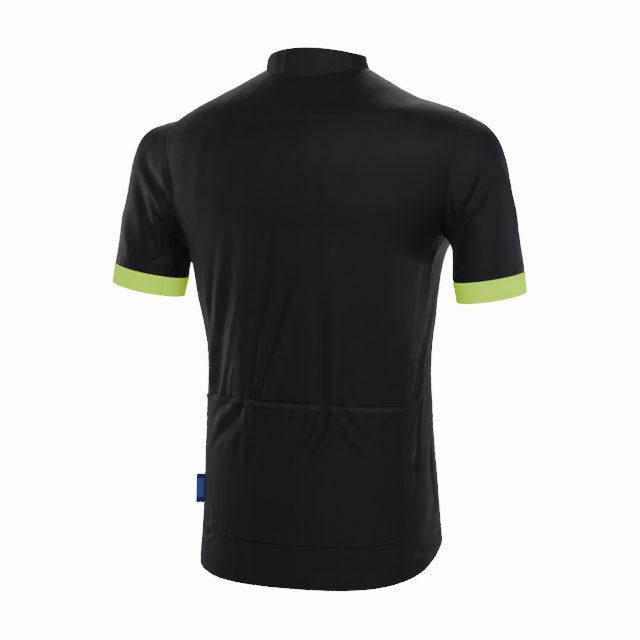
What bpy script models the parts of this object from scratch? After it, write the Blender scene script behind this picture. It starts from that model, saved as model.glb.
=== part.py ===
"""Short-sleeved cycling jersey in its worn form, hollow, with no wearer.

Metres, +Z up, the front towards -Y and the wearer's left towards +X. The origin
lies midway between the two side neck points, where the wearer's shoulders carry
the jersey.

The body cloth is one smooth surface through horizontal rings. A point on it has
an angle (0 = wearer's left side, 90 = middle of the back, 180 = right side,
270 = middle of the front) and a level (metres up the side from the hem, and on
over the shoulder to the neck). Panels are stretches of that surface between
seams, given a wall inwards. Sleeves start on the armhole and end in a cuff.
"""

import math
from collections import namedtuple

import bmesh
import bpy
import numpy as np
from mathutils import Matrix, Vector

# ---------------------------------------------------------------- cloth
BODY_WALL = 0.0012      # single knit of the body and sleeves
CUFF_WALL = 0.0018      # folded band
COLLAR_WALL = 0.0020    # folded band
POCKET_WALL = 0.0011
BINDING_WALL = 0.0018
SEAM_GAP = 0.0003       # space between two pieces at a seam

# ---------------------------------------------------------------- body rings
# level: place along the side. side_z, back_z, front_z: heights of the ring at the
# side, mid back and mid front. half_width, back_depth, front_depth: its reach in
# X, +Y and -Y from its widest line, which lies at middle_y. square: 2 is an
# ellipse, more is boxier. arch: 1 falls evenly to both sides of the shoulder
# line, 0 runs straight through the side. tilt: rise towards the wearer's left,
# per metre.
Ring = namedtuple("Ring", "level side_z back_z front_z half_width back_depth"
                          " front_depth middle_y square arch tilt")
BODY_RINGS = (
    Ring(0.000, -0.653, -0.6845, -0.619, 0.1695, 0.132, 0.132, -0.008, 2.25, 0.0, 0.000),   # hem
    Ring(0.090, -0.563, -0.580, -0.542, 0.1630, 0.127, 0.129, -0.008, 2.25, 0.0, 0.010),   # hip
    Ring(0.207, -0.446, -0.441, -0.448, 0.1565, 0.120, 0.123, -0.006, 2.25, 0.0, 0.030),   # pocket
    Ring(0.273, -0.380, -0.378, -0.380, 0.1555, 0.117, 0.123, 0.000, 2.25, 0.0, 0.020),    # waist
    Ring(0.343, -0.310, -0.308, -0.311, 0.1660, 0.115, 0.131, 0.007, 2.30, 0.0, 0.000),    # ribs
    Ring(0.428, -0.225, -0.226, -0.230, 0.1875, 0.119, 0.135, 0.006, 2.28, 0.35, 0.001),   # armpit
    Ring(0.483, -0.166, -0.172, -0.184, 0.2320, 0.124, 0.133, 0.003, 2.10, 0.6, 0.015),    # chest
    Ring(0.543, -0.096, -0.115, -0.142, 0.2470, 0.121, 0.121, 0.000, 2.10, 0.8, 0.005),    # shoulder blade
    Ring(0.596, -0.059, -0.073, -0.112, 0.2020, 0.105, 0.104, 0.000, 2.15, 1.0, 0.002),    # shoulder tip
    Ring(0.651, -0.0295, -0.041, -0.090, 0.1340, 0.084, 0.088, 0.000, 2.20, 1.0, 0.033),   # mid shoulder
    Ring(0.700, 0.0040, -0.012, -0.072, 0.0720, 0.062, 0.072, 0.000, 2.00, 1.0, 0.020),    # neck
)
COLLAR_RINGS = (
    Ring(0.000, 0.0040, -0.012, -0.072, 0.0720, 0.062, 0.072, 0.0, 2.0, 1.0, 0.020),   # neck seam
    Ring(0.500, 0.0130, 0.0085, -0.052, 0.0700, 0.060, 0.068, 0.0, 2.0, 1.0, 0.015),   # half way up
    Ring(1.000, 0.0200, 0.0270, -0.031, 0.0675, 0.058, 0.064, 0.0, 2.0, 1.0, 0.010),   # top edge
)

# ---------------------------------------------------------------- armholes and seams
ARMPIT_LEVEL = 0.428
TIP_LEVEL = 0.596
ARMHOLE_BACK = {1: 44.0, -1: 32.0}  # degrees that the left and right armholes reach round to the back
ARMHOLE_FRONT = 38.0
SEAM_TURN = math.radians(30.0)      # where the side seams meet the armhole, from the armpit
LAST_TURN = math.radians(160.0)     # the last point round the armhole before its tip
SIDE_TOP = 0.09         # stretch over which a side panel's rows bend to the armhole
# Degrees from the side to the left and right back seams and to both front ones, up the body.
SideSeam = namedtuple("SideSeam", "level left right front")
SIDE_SEAMS = (
    SideSeam(0.000, 31.0, 31.0, 27.0),
    SideSeam(0.090, 30.5, 30.5, 26.0),
    SideSeam(0.207, 28.0, 27.5, 25.0),
    SideSeam(0.273, 26.5, 20.5, 25.0),
    SideSeam(0.343, 24.0, 17.0, 22.5),
)

# ---------------------------------------------------------------- pocket, label, zip
POCKET_BOTTOM = 0.050   # levels
POCKET_TOP = 0.199
BINDING_TOP = 0.207
POCKET_GAP = 0.0003     # at the stitching
POCKET_SAG = 0.0022     # how far each compartment's mouth stands off the back
POCKET_DIVIDERS = (0.30, 0.68)      # across the back, from its left seam to its right
LABEL_LOW = 0.075       # level of the label's lower edge in the left back seam
LABEL_HEIGHT = 0.035
LABEL_REACH = 0.0110
LABEL_THICK = 0.0010
LABEL_TURN = math.radians(22.0)     # from straight sideways towards the back
ZIP_OPENING = 0.0080    # between the two front edges
TAPE_WIDTH = 0.0260
TAPE_THICK = 0.0008
TAPE_GAP = 0.0006       # behind the cloth
COIL_WIDTH = 0.0058
COIL_SINK = 0.0003      # the coil's crown lies this far under the cloth's face
ZIP_ON_COLLAR = (0.02, 0.97)        # shares of the collar's height that the zip runs over

# Slider and pull tab: across the zip, up it, and out from it.
SLIDER_HEIGHT = 0.80    # its place up the collar, as a share of the collar's height
SLIDER_SIZE = (0.0074, 0.0110, 0.0020)
BRIDGE_SIZE = (0.0020, 0.0070, 0.0030)      # arch on the slider that holds the pull
BRIDGE_WINDOW = (0.0044, 0.0022)            # opening under the arch
BRIDGE_ROOT = 0.0003    # how far the arch's feet run into the plate
PULL_WIDTH = 0.0060
PULL_LENGTH = 0.0240    # from the pivot to the lower end
PULL_THICK = 0.0010
PULL_EYE = (0.0034, 0.0041)     # opening that the arch passes through
PULL_CORNER = 0.0007
EYE_CORNER = 0.0003
CORNER_STEPS = 4
EDGE_ROUNDING = 0.0005

# ---------------------------------------------------------------- sleeves
# side: 1 left, -1 right. cuff_x, cuff_y, cuff_z: middle of the cuff's lower edge.
# abduct, forward: lean of the arm out and to the front, in degrees. across, deep:
# the cuff's half widths along and across the body. cap: share of the sleeve's
# length that its top runs on outwards. lift: how much flatter than the shoulder it
# starts there. under: degrees from straight down at which the underarm leaves.
Sleeve = namedtuple("Sleeve", "name side cuff_x cuff_y cuff_z abduct forward across deep cap lift under")
SLEEVES = (
    Sleeve("left", 1, 0.2505, 0.020, -0.2965, 13.0, 1.0, 0.0520, 0.0530, 0.36, 0.40, 60.0),
    Sleeve("right", -1, 0.2520, 0.020, -0.3010, 6.5, 6.0, 0.0450, 0.0580, 0.26, 0.12, 60.0),
)
CUFF_HEIGHT = 0.027
CUFF_FLARE = 1.02
HANDLE = 0.33           # share of the sleeve's length that the underarm's curve starts and ends straight
TOP_END_HANDLE = 0.79   # the same for the end of its top
SEAM_FADE = 0.15        # share of the sleeve over which its folds fade at each seam

# ---------------------------------------------------------------- folds
# face: the side the fold is on. across, height: where it starts and ends, in X on
# the back and front or Y on the sides, and Z. width: half its breadth. rise: above
# the cloth, or below it where negative.
Fold = namedtuple("Fold", "face across0 height0 across1 height1 width rise")
BODY_FOLDS = (
    Fold("back", 0.086, -0.195, 0.128, -0.430, 0.011, 0.0038),
    Fold("back", 0.070, -0.200, 0.116, -0.436, 0.010, -0.0026),
    Fold("back", 0.050, -0.195, 0.080, -0.436, 0.014, 0.0044),
    Fold("back", 0.014, -0.205, 0.054, -0.436, 0.012, -0.0030),
    Fold("back", 0.000, -0.255, 0.046, -0.436, 0.009, 0.0032),
    Fold("back", -0.032, -0.265, 0.026, -0.436, 0.010, 0.0034),
    Fold("back", -0.050, -0.260, -0.049, -0.436, 0.013, -0.0022),
    Fold("back", -0.076, -0.250, -0.070, -0.430, 0.018, 0.0026),
    Fold("back", 0.060, -0.446, 0.062, -0.540, 0.012, 0.0034),
    Fold("back", 0.080, -0.446, 0.124, -0.504, 0.012, 0.0034),
    Fold("back", -0.050, -0.450, -0.010, -0.522, 0.010, -0.0028),
    Fold("back", -0.066, -0.450, -0.026, -0.528, 0.010, 0.0030),
    Fold("back", -0.066, -0.450, -0.110, -0.512, 0.012, 0.0030),
    Fold("right", 0.020, -0.260, 0.030, -0.400, 0.012, 0.0030),
    Fold("right", 0.010, -0.400, 0.040, -0.540, 0.014, 0.0030),
    Fold("left", 0.015, -0.270, 0.035, -0.420, 0.013, 0.0030),
    Fold("left", 0.000, -0.420, 0.030, -0.560, 0.014, 0.0025),
    Fold("front", 0.060, -0.190, 0.092, -0.350, 0.017, 0.0030),
    Fold("front", -0.060, -0.200, -0.096, -0.360, 0.018, 0.0032),
    Fold("front", 0.095, -0.330, 0.060, -0.520, 0.017, 0.0030),
    Fold("front", -0.100, -0.350, -0.055, -0.540, 0.018, 0.0030),
    Fold("front", 0.040, -0.430, 0.050, -0.580, 0.015, 0.0022),
)
SLEEVE_FOLDS = (
    Fold("back", 0.254, -0.095, 0.219, -0.156, 0.014, -0.0026),
    Fold("back", 0.219, -0.156, 0.192, -0.192, 0.014, -0.0026),
    Fold("back", 0.264, -0.127, 0.222, -0.237, 0.014, -0.0024),
    Fold("back", -0.260, -0.126, -0.244, -0.186, 0.014, -0.0026),
    Fold("back", -0.244, -0.186, -0.216, -0.205, 0.013, -0.0026),
    Fold("back", -0.238, -0.146, -0.208, -0.190, 0.013, -0.0024),
    Fold("front", 0.250, -0.110, 0.205, -0.190, 0.014, -0.0026),
    Fold("front", 0.262, -0.150, 0.230, -0.240, 0.014, -0.0022),
    Fold("front", -0.248, -0.105, -0.206, -0.185, 0.014, -0.0026),
    Fold("front", -0.262, -0.160, -0.226, -0.235, 0.014, -0.0022),
)
FACE_DIRECTIONS = {"back": (0, 1, 0), "front": (0, -1, 0), "left": (1, 0, 0), "right": (-1, 0, 0)}

# ---------------------------------------------------------------- mesh fineness
TAIL_ROWS = 4           # hem to pocket bottom
POCKET_ROWS = 8
BINDING_ROWS = 1
BACK_ROWS = 12          # binding to armhole
ARMHOLE_ROWS = 11
SHOULDER_ROWS = 5
BACK_COLUMNS = 26
FRONT_COLUMNS = 10
SIDE_COLUMNS = 6
SLEEVE_ROWS = 10
CUFF_ROWS = 2
COLLAR_COLUMNS = 32
COLLAR_ROWS = 3
LABEL_ROWS = 3
CURVE_SAMPLES = 41      # points that a sleeve's lengthwise curve is measured by

# Small steps over which the surfaces' normals are worked out.
ANGLE_STEP = 0.2        # degrees
LEVEL_STEP = 0.0005     # metres
SHARE_STEP = 0.01       # of a collar's or sleeve's length, or radians round an armhole

# ---------------------------------------------------------------- finishes
Finish = namedtuple("Finish", "colour roughness metallic")
BLACK_KNIT = Finish((0.012, 0.012, 0.014), 0.62, 0.0)
GREY_MESH = Finish((0.030, 0.031, 0.034), 0.50, 0.0)
FLUORO_KNIT = Finish((0.62, 0.86, 0.03), 0.55, 0.0)
BLUE_RIBBON = Finish((0.020, 0.045, 0.26), 0.45, 0.0)
BLACK_NYLON = Finish((0.010, 0.010, 0.011), 0.40, 0.0)
DARK_METAL = Finish((0.10, 0.10, 0.11), 0.35, 0.9)


# ================================================================ scene set-up
def clear_scene():
    """Removes every object that the new file came with."""
    for thing in list(bpy.data.objects):
        bpy.data.objects.remove(thing, do_unlink=True)


def new_collection(name):
    """A collection of the given name, linked to the scene."""
    group = bpy.data.collections.new(name)
    bpy.context.scene.collection.children.link(group)
    return group


def material(name, finish):
    """A plain Principled material with the finish's colour, roughness and metal."""
    made = bpy.data.materials.new(name)
    made.use_nodes = True
    shader = made.node_tree.nodes["Principled BSDF"]
    shader.inputs["Base Color"].default_value = (*finish.colour, 1.0)
    shader.inputs["Roughness"].default_value = finish.roughness
    shader.inputs["Metallic"].default_value = finish.metallic
    made.diffuse_color = (*finish.colour, 1.0)
    return made


# ================================================================ smooth tables
def smooth_rows(rows, places):
    """Columns of a table at the given places, on smooth curves through its rows.

    The first column is the place of each row; the result has one array per column
    after it.
    """
    table = np.array([tuple(row) for row in rows], dtype=float)
    knots = table[:, 0]
    values = table[:, 1:]
    slopes = np.gradient(values, knots, axis=0)
    places = np.clip(places, knots[0], knots[-1])
    low = np.clip(np.searchsorted(knots, places, side="right") - 1, 0, len(knots) - 2)
    width = (knots[low + 1] - knots[low])[..., None]
    t = (places - knots[low])[..., None] / width
    value = (values[low] * (2 * t**3 - 3 * t**2 + 1) + values[low + 1] * (3 * t**2 - 2 * t**3)
             + slopes[low] * width * (t**3 - 2 * t**2 + t) + slopes[low + 1] * width * (t**3 - t**2))
    return [value[..., column] for column in range(values.shape[1])]


def smooth_step(low, high, value):
    """0 below low, 1 above high, and an even S-curve between."""
    t = np.clip((value - low) / (high - low), 0.0, 1.0)
    return t * t * (3.0 - 2.0 * t)


def unit(vectors):
    """The vectors at length one."""
    return vectors / np.maximum(np.linalg.norm(vectors, axis=-1, keepdims=True), 1e-12)


# ================================================================ surfaces
def ring_point(angle, rings, level):
    """Point at an angle (degrees) and a level on the surface through a ring table."""
    (side_z, back_z, front_z, half_width, back_depth, front_depth, middle_y, square,
     arch, tilt) = smooth_rows(rings, level)
    cosine = np.cos(np.radians(angle))
    sine = np.sin(np.radians(angle))
    swell = (np.abs(cosine) ** square + np.abs(sine) ** square) ** (-1.0 / square)
    to_back = sine >= 0.0
    depth = np.where(to_back, back_depth, front_depth)
    middle_z = np.where(to_back, back_z, front_z)
    fall = arch * sine**2 + (1.0 - arch) * (1.5 * np.abs(sine) - 0.5 * np.abs(sine) ** 3)
    x = half_width * cosine * swell
    y = middle_y + depth * sine * swell
    z = side_z + (middle_z - side_z) * fall + tilt * x
    return np.stack([x, y, z], axis=-1)


def surface_normals(surface, first, second, step_first, step_second):
    """Outward normals of a surface of two parameters, by small steps along both."""
    along = surface(first + step_first, second) - surface(first - step_first, second)
    up = surface(first, second + step_second) - surface(first, second - step_second)
    return unit(np.cross(along, up))


def fold_relief(points, normals, folds):
    """How far the folds move each point along its normal."""
    rise = np.zeros(points.shape[:-1])
    for fold in folds:
        facing = normals @ np.array(FACE_DIRECTIONS[fold.face], dtype=float)
        across_axis = 0 if fold.face in ("back", "front") else 1
        across = points[..., across_axis] - fold.across0
        height = points[..., 2] - fold.height0
        run_across = fold.across1 - fold.across0
        run_height = fold.height1 - fold.height0
        length = math.hypot(run_across, run_height)
        along = (across * run_across + height * run_height) / length
        beside = (across * run_height - height * run_across) / length
        ends = smooth_step(-fold.width, fold.width, along)
        ends = ends * smooth_step(-fold.width, fold.width, length - along)
        rise += fold.rise * np.exp(-(beside / fold.width) ** 2) * ends * smooth_step(0.1, 0.6, facing)
    return rise


def flat_body(angle, level):
    """The body surface before its folds."""
    return ring_point(angle, BODY_RINGS, level)


def body(angle, level):
    """The body surface with its folds."""
    points = flat_body(angle, level)
    normals = surface_normals(flat_body, angle, level, ANGLE_STEP, LEVEL_STEP)
    return points + normals * fold_relief(points, normals, BODY_FOLDS)[..., None]


def collar_surface(angle, height):
    """The collar from its seam (0) to its top edge (1)."""
    return ring_point(angle, COLLAR_RINGS, height)


# ================================================================ seams on the body
def armhole_reach(side, back):
    """Degrees that an armhole reaches round from the side, where it runs on the back and where not."""
    return np.where(back, ARMHOLE_BACK[side], ARMHOLE_FRONT)


def armhole_offset(side, turn):
    """Degrees from the side to the armhole's edge; turn is 0 at the armpit, pi at the tip."""
    return armhole_reach(side, np.sin(turn) >= 0.0) * np.sin(turn)


def armhole_level(turn):
    """Level of the armhole's edge."""
    middle = (ARMPIT_LEVEL + TIP_LEVEL) / 2
    return middle - (TIP_LEVEL - ARMPIT_LEVEL) / 2 * np.cos(turn)


def side_angle(side, offset):
    """Angle on the body at an offset from a side; positive offsets are to the back."""
    return offset if side > 0 else 180.0 - offset


def armhole(side, turn):
    """The armhole's edge on the body."""
    return body(side_angle(side, armhole_offset(side, turn)), armhole_level(turn))


def body_levels():
    """Rows of the body: levels from the hem to the neck, and the armhole's turns among them."""
    join = armhole_level(np.array(SEAM_TURN))
    turns = np.append(np.linspace(SEAM_TURN, LAST_TURN, ARMHOLE_ROWS), math.pi)
    stretches = (
        np.linspace(0.0, POCKET_BOTTOM, TAIL_ROWS + 1),
        np.linspace(POCKET_BOTTOM, POCKET_TOP, POCKET_ROWS + 1)[1:],
        np.linspace(POCKET_TOP, BINDING_TOP, BINDING_ROWS + 1)[1:],
        np.linspace(BINDING_TOP, float(join), BACK_ROWS + 1)[1:],
        armhole_level(turns)[1:],
        np.linspace(TIP_LEVEL, BODY_RINGS[-1].level, SHOULDER_ROWS + 1)[1:],
    )
    return np.concatenate(stretches), turns


LEVELS, ARMHOLE_TURNS = body_levels()
JOIN_ROW = TAIL_ROWS + POCKET_ROWS + BINDING_ROWS + BACK_ROWS
TIP_ROW = JOIN_ROW + ARMHOLE_ROWS


def edge_offsets(column, side):
    """Degrees from a side to a panel's outer edge, one for each row of the body.

    column is "back" or "front". The edge is the side seam, then the armhole, then
    the shoulder seam.
    """
    sign = 1.0 if column == "back" else -1.0
    join = float(sign * armhole_offset(side, np.array(sign * SEAM_TURN)))
    field = column if column == "front" else {1: "left", -1: "right"}[side]
    rows = [(seam.level, getattr(seam, field)) for seam in SIDE_SEAMS]
    rows.append((LEVELS[JOIN_ROW], join))
    seam_part = smooth_rows(rows, LEVELS[:JOIN_ROW + 1])[0]
    hole_part = sign * armhole_offset(side, sign * ARMHOLE_TURNS[1:])
    shoulder_part = np.zeros(len(LEVELS) - 1 - TIP_ROW)
    return np.concatenate([seam_part, np.abs(hole_part), shoulder_part])


def gap_angle(angle, level):
    """Degrees round the body that half a seam gap takes at each place."""
    run = flat_body(angle + ANGLE_STEP, level) - flat_body(angle - ANGLE_STEP, level)
    return SEAM_GAP / 2 / np.linalg.norm(run, axis=-1) * 2 * ANGLE_STEP


# ================================================================ solids
def grid_faces(mesh, grid, closed, flip, mirror_from=None):
    """Faces of a grid of vertices, round once more where it is closed.

    Every cell is split along the same diagonal, or along the other one from the
    column mirror_from on, so that layers made from the same points stay parallel.
    """
    rows = len(grid)
    columns = len(grid[0])
    for row in range(rows - 1):
        for column in range(columns if closed else columns - 1):
            beside = (column + 1) % columns
            low, low_beside = grid[row][column], grid[row][beside]
            high, high_beside = grid[row + 1][column], grid[row + 1][beside]
            if mirror_from is not None and column >= mirror_from:
                halves = ((low, low_beside, high), (low_beside, high_beside, high))
            else:
                halves = ((low, low_beside, high_beside), (low, high_beside, high))
            for corners in halves:
                mesh.faces.new(reversed(corners) if flip else corners)


def add_grid(mesh, points):
    """Vertices of a grid of points, row by row."""
    return [[mesh.verts.new(point) for point in row] for row in points]


def finish_object(name, mesh, group, look):
    """A smooth-shaded object of a closed mesh, its faces turned outwards."""
    mesh.normal_update()
    if mesh.calc_volume(signed=True) < 0.0:
        bmesh.ops.reverse_faces(mesh, faces=mesh.faces)
    data = bpy.data.meshes.new(name)
    mesh.to_mesh(data)
    mesh.free()
    data.materials.append(look)
    data.shade_smooth()
    data.set_sharp_from_angle(angle=math.radians(40))
    made = bpy.data.objects.new(name, data)
    group.objects.link(made)
    return made


def wall(name, outer, inner, group, look, closed=False, mirror_from=None):
    """A cloth wall between two grids of points, closed all round its edges."""
    mesh = bmesh.new()
    face = add_grid(mesh, outer)
    lining = add_grid(mesh, inner)
    grid_faces(mesh, face, closed, False, mirror_from)
    grid_faces(mesh, lining, closed, True, mirror_from)
    for row, flip in ((0, True), (-1, False)):
        grid_faces(mesh, [face[row], lining[row]], closed, flip)
    if not closed:
        for column, flip in ((0, False), (-1, True)):
            sides = [[line[column] for line in face], [line[column] for line in lining]]
            grid_faces(mesh, sides, False, flip)
    return finish_object(name, mesh, group, look)


def panel_points(angle, level, lift_face, lift_lining):
    """Outer and inner points of a piece of the body cloth, moved out by the two lifts."""
    points = body(angle, level)
    normals = surface_normals(body, angle, level, ANGLE_STEP, LEVEL_STEP)
    return points + normals * lift_face, points + normals * lift_lining


def spread_angles(first, last, columns):
    """Angles of a panel's grid between its two edges, one row for each level."""
    share = np.linspace(0.0, 1.0, columns + 1)
    return first[:, None] * (1.0 - share) + last[:, None] * share


def back_grid():
    """Angles and levels of the back panel."""
    left = edge_offsets("back", 1)
    right = edge_offsets("back", -1)
    angle = spread_angles(left + gap_angle(left, LEVELS), 180.0 - right - gap_angle(right, LEVELS),
                          BACK_COLUMNS)
    level = np.repeat(LEVELS[:, None], BACK_COLUMNS + 1, axis=1)
    return angle, level


def build_back(group, look):
    """Back panel, from side seam to side seam and up to the neck."""
    angle, level = back_grid()
    face, lining = panel_points(angle, level, 0.0, -BODY_WALL)
    return wall("back_panel", face, lining, group, look, mirror_from=BACK_COLUMNS // 2)


def build_front(name, side, group, look):
    """One front panel, from the zip to the side seam, armhole and shoulder."""
    offsets = edge_offsets("front", side)
    gap = gap_angle(-offsets, LEVELS)
    half_width = smooth_rows(BODY_RINGS, LEVELS)[3]
    zip_angle = np.degrees(np.arcsin(ZIP_OPENING / 2 / half_width))
    outer_edge = -(offsets + gap)
    zip_edge = -90.0 + zip_angle
    angle = spread_angles(outer_edge, zip_edge, FRONT_COLUMNS)
    if side < 0:
        angle = 180.0 - angle
    level = np.repeat(LEVELS[:, None], FRONT_COLUMNS + 1, axis=1)
    face, lining = panel_points(angle, level, 0.0, -BODY_WALL)
    return wall(name, face, lining, group, look)


def build_side(name, side, group, look):
    """Side panel, from the hem up to the underside of the armhole."""
    levels = LEVELS[:JOIN_ROW + 1]
    back = edge_offsets("back", side)[:JOIN_ROW + 1]
    front = -edge_offsets("front", side)[:JOIN_ROW + 1]
    offset = spread_angles(back - gap_angle(back, levels), front + gap_angle(front, levels), SIDE_COLUMNS)
    top = offset[-1]
    turn = np.arcsin(top / armhole_reach(side, top >= 0.0))
    dip = levels[-1] - armhole_level(turn)
    share = smooth_step(levels[-1] - SIDE_TOP, levels[-1], levels)
    level = levels[:, None] - share[:, None] * dip[None, :]
    face, lining = panel_points(side_angle(side, offset), level, 0.0, -BODY_WALL)
    return wall(name, face, lining, group, look)


# ================================================================ sleeves and cuffs
def sleeve_turns(side):
    """Turns round the armhole that meet the panels' own edge points."""
    under_back = edge_offsets("back", side)[JOIN_ROW]
    under_front = edge_offsets("front", side)[JOIN_ROW]
    under = np.linspace(-under_front, under_back, SIDE_COLUMNS + 1)
    lower = np.arcsin(under / armhole_reach(side, under >= 0.0))
    return np.concatenate([lower, ARMHOLE_TURNS[1:], -ARMHOLE_TURNS[-2:0:-1]])


def arm_axes(sleeve):
    """Directions along the arm, across it (away from the body) and round it (to the back)."""
    lean = math.radians(sleeve.abduct)
    forward = math.radians(sleeve.forward)
    along = np.array((sleeve.side * math.sin(lean), -math.sin(forward), -math.cos(lean)))
    along = along / np.linalg.norm(along)
    back = np.array((0.0, 1.0, 0.0))
    back = back - along * (back @ along)
    back = back / np.linalg.norm(back)
    out = np.cross(along, back) * sleeve.side
    return along, out, back


def cuff_ring(sleeve, turn, height, growth=0.0):
    """Ring round the arm at a height above the cuff's lower edge."""
    along, out, back = arm_axes(sleeve)
    middle = np.array((sleeve.side * sleeve.cuff_x, sleeve.cuff_y, sleeve.cuff_z))
    flare = 1.0 + (CUFF_FLARE - 1.0) * height / CUFF_HEIGHT
    across = sleeve.across * flare + growth
    deep = sleeve.deep * flare + growth
    turned = np.asarray(turn)[..., None]
    return middle - along * height - out * across * np.cos(turned) + back * deep * np.sin(turned)


def sleeve_start(sleeve, turn):
    """Armhole points, and the directions in which the sleeve's cloth leaves them."""
    offset = armhole_offset(sleeve.side, turn)
    level = armhole_level(turn)
    points = armhole(sleeve.side, turn)
    normals = surface_normals(body, side_angle(sleeve.side, offset), level, ANGLE_STEP, LEVEL_STEP)
    edge = unit(armhole(sleeve.side, turn + SHARE_STEP) - armhole(sleeve.side, turn - SHARE_STEP))
    leaving = np.cross(normals, edge) * sleeve.side
    outwards = np.array((sleeve.side, 0.0, 0.0))
    lean = math.radians(sleeve.under)
    under = outwards * math.sin(lean) + np.array((0.0, 0.0, -math.cos(lean)))
    top = ((1.0 - np.cos(turn)) / 2)[..., None]
    share = smooth_step(0.15, 0.85, top)
    lift = np.array((0.0, 0.0, sleeve.lift)) * smooth_step(0.6, 1.0, top)
    return points, unit(leaving * share + under * (1.0 - share) + lift)


def flat_sleeve(sleeve, turn, share):
    """The sleeve before its folds; share runs from the armhole (0) to the cuff seam (1)."""
    turn, share = np.broadcast_arrays(turn, share)
    start, leaving = sleeve_start(sleeve, turn)
    start = start + leaving * SEAM_GAP
    along = arm_axes(sleeve)[0]
    end = cuff_ring(sleeve, turn, CUFF_HEIGHT + SEAM_GAP)
    length = np.linalg.norm(end - start, axis=-1, keepdims=True)
    top = ((1.0 - np.cos(turn)) / 2)[..., None]
    first = start + leaving * length * (HANDLE * (1.0 - top) + sleeve.cap * top)
    second = end - along * length * (HANDLE * (1.0 - top) + TOP_END_HANDLE * top)
    samples = np.linspace(0.0, 1.0, CURVE_SAMPLES)
    curve = np.stack([start * (1 - t)**3 + first * 3 * t * (1 - t)**2 + second * 3 * t**2 * (1 - t)
                      + end * t**3 for t in samples])
    steps = np.linalg.norm(np.diff(curve, axis=0), axis=-1)
    run = np.concatenate([np.zeros((1,) + steps.shape[1:]), np.cumsum(steps, axis=0)])
    wanted = np.clip(share, 0.0, 1.0) * run[-1]
    low = np.clip((run <= wanted).sum(axis=0) - 1, 0, len(samples) - 2)
    before = np.take_along_axis(run, low[None], axis=0)[0]
    after = np.take_along_axis(run, low[None] + 1, axis=0)[0]
    part = ((wanted - before) / np.maximum(after - before, 1e-9))[..., None]
    lower = np.take_along_axis(curve, low[None, ..., None], axis=0)[0]
    upper = np.take_along_axis(curve, low[None, ..., None] + 1, axis=0)[0]
    beyond = (share - np.clip(share, 0.0, 1.0))[..., None] * run[-1][..., None]
    straight = np.where(beyond > 0, along, leaving)
    return lower * (1 - part) + upper * part + straight * beyond


def sleeve_surface(sleeve, turn, share):
    """The sleeve with its folds, which fade out at both of its seams."""
    def flat(first, second):
        return flat_sleeve(sleeve, first, second)
    points = flat(turn, share)
    normals = surface_normals(flat, turn, share, SHARE_STEP, SHARE_STEP) * sleeve.side
    fade = smooth_step(0.0, SEAM_FADE, share) * smooth_step(0.0, SEAM_FADE, 1.0 - share)
    return points + normals * (fold_relief(points, normals, SLEEVE_FOLDS) * fade)[..., None]


def build_sleeve(sleeve, group, look):
    """Sleeve, a tube from the armhole to the cuff seam."""
    turn, share = np.meshgrid(sleeve_turns(sleeve.side), np.linspace(0.0, 1.0, SLEEVE_ROWS + 1))

    def shaped(first, second):
        return sleeve_surface(sleeve, first, second)
    points = shaped(turn, share)
    normals = surface_normals(shaped, turn, share, SHARE_STEP, SHARE_STEP) * sleeve.side
    return wall(f"sleeve_{sleeve.name}", points, points - normals * BODY_WALL, group, look, closed=True)


def build_cuff(sleeve, group, look):
    """Cuff band below the sleeve's end."""
    heights = np.linspace(CUFF_HEIGHT, 0.0, CUFF_ROWS + 1)
    turns = sleeve_turns(sleeve.side)
    proud = (CUFF_WALL - BODY_WALL) / 2
    face = np.stack([cuff_ring(sleeve, turns, height, proud) for height in heights])
    lining = np.stack([cuff_ring(sleeve, turns, height, proud - CUFF_WALL) for height in heights])
    return wall(f"cuff_{sleeve.name}", face, lining, group, look, closed=True)


# ================================================================ collar
def build_collar(group, look):
    """Stand collar, open at the front for the zip."""
    half_width = COLLAR_RINGS[0].half_width
    opening = math.degrees(math.asin(ZIP_OPENING / 2 / half_width))
    start = SEAM_GAP / (COLLAR_RINGS[-1].back_z - COLLAR_RINGS[0].back_z)
    angle, height = np.meshgrid(np.linspace(-90.0 + opening, 270.0 - opening, COLLAR_COLUMNS + 1),
                                np.linspace(start, 1.0, COLLAR_ROWS + 1))
    points = collar_surface(angle, height)
    normals = surface_normals(collar_surface, angle, height, ANGLE_STEP, SHARE_STEP)
    return wall("collar", points, points - normals * COLLAR_WALL, group, look)


# ================================================================ pocket and label
def build_pocket(group, look):
    """Rear pocket panel, lying on the back panel and standing off it at its mouth."""
    angle, level = back_grid()
    rows = slice(TAIL_ROWS, TAIL_ROWS + POCKET_ROWS + 1)
    angle = angle[rows]
    level = level[rows]
    across = np.linspace(0.0, 1.0, BACK_COLUMNS + 1)
    seams = (0.0, *POCKET_DIVIDERS, 1.0)
    bag = np.zeros_like(across)
    for first, last in zip(seams[:-1], seams[1:]):
        inside = (across >= first) & (across <= last)
        bag = np.where(inside, np.sin(math.pi * (across - first) / (last - first)), bag)
    mouth = smooth_step(POCKET_BOTTOM, POCKET_TOP, level)
    lift = POCKET_GAP + POCKET_SAG * np.clip(bag, 0.0, 1.0)[None, :] * mouth
    face, lining = panel_points(angle, level, (lift + POCKET_WALL)[..., None], lift[..., None])
    return wall("pocket_panel", face, lining, group, look, mirror_from=BACK_COLUMNS // 2)


def build_binding(group, look):
    """Binding band along the pocket's mouth."""
    angle, level = back_grid()
    row = TAIL_ROWS + POCKET_ROWS
    angle = angle[row:row + BINDING_ROWS + 1]
    level = level[row:row + BINDING_ROWS + 1]
    face, lining = panel_points(angle, level, POCKET_GAP + BINDING_WALL, POCKET_GAP)
    share = SEAM_GAP / (level[1, 0] - level[0, 0])
    for points in (face, lining):
        points[0] += (points[1] - points[0]) * share
    return wall("pocket_binding", face, lining, group, look, mirror_from=BACK_COLUMNS // 2)


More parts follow.
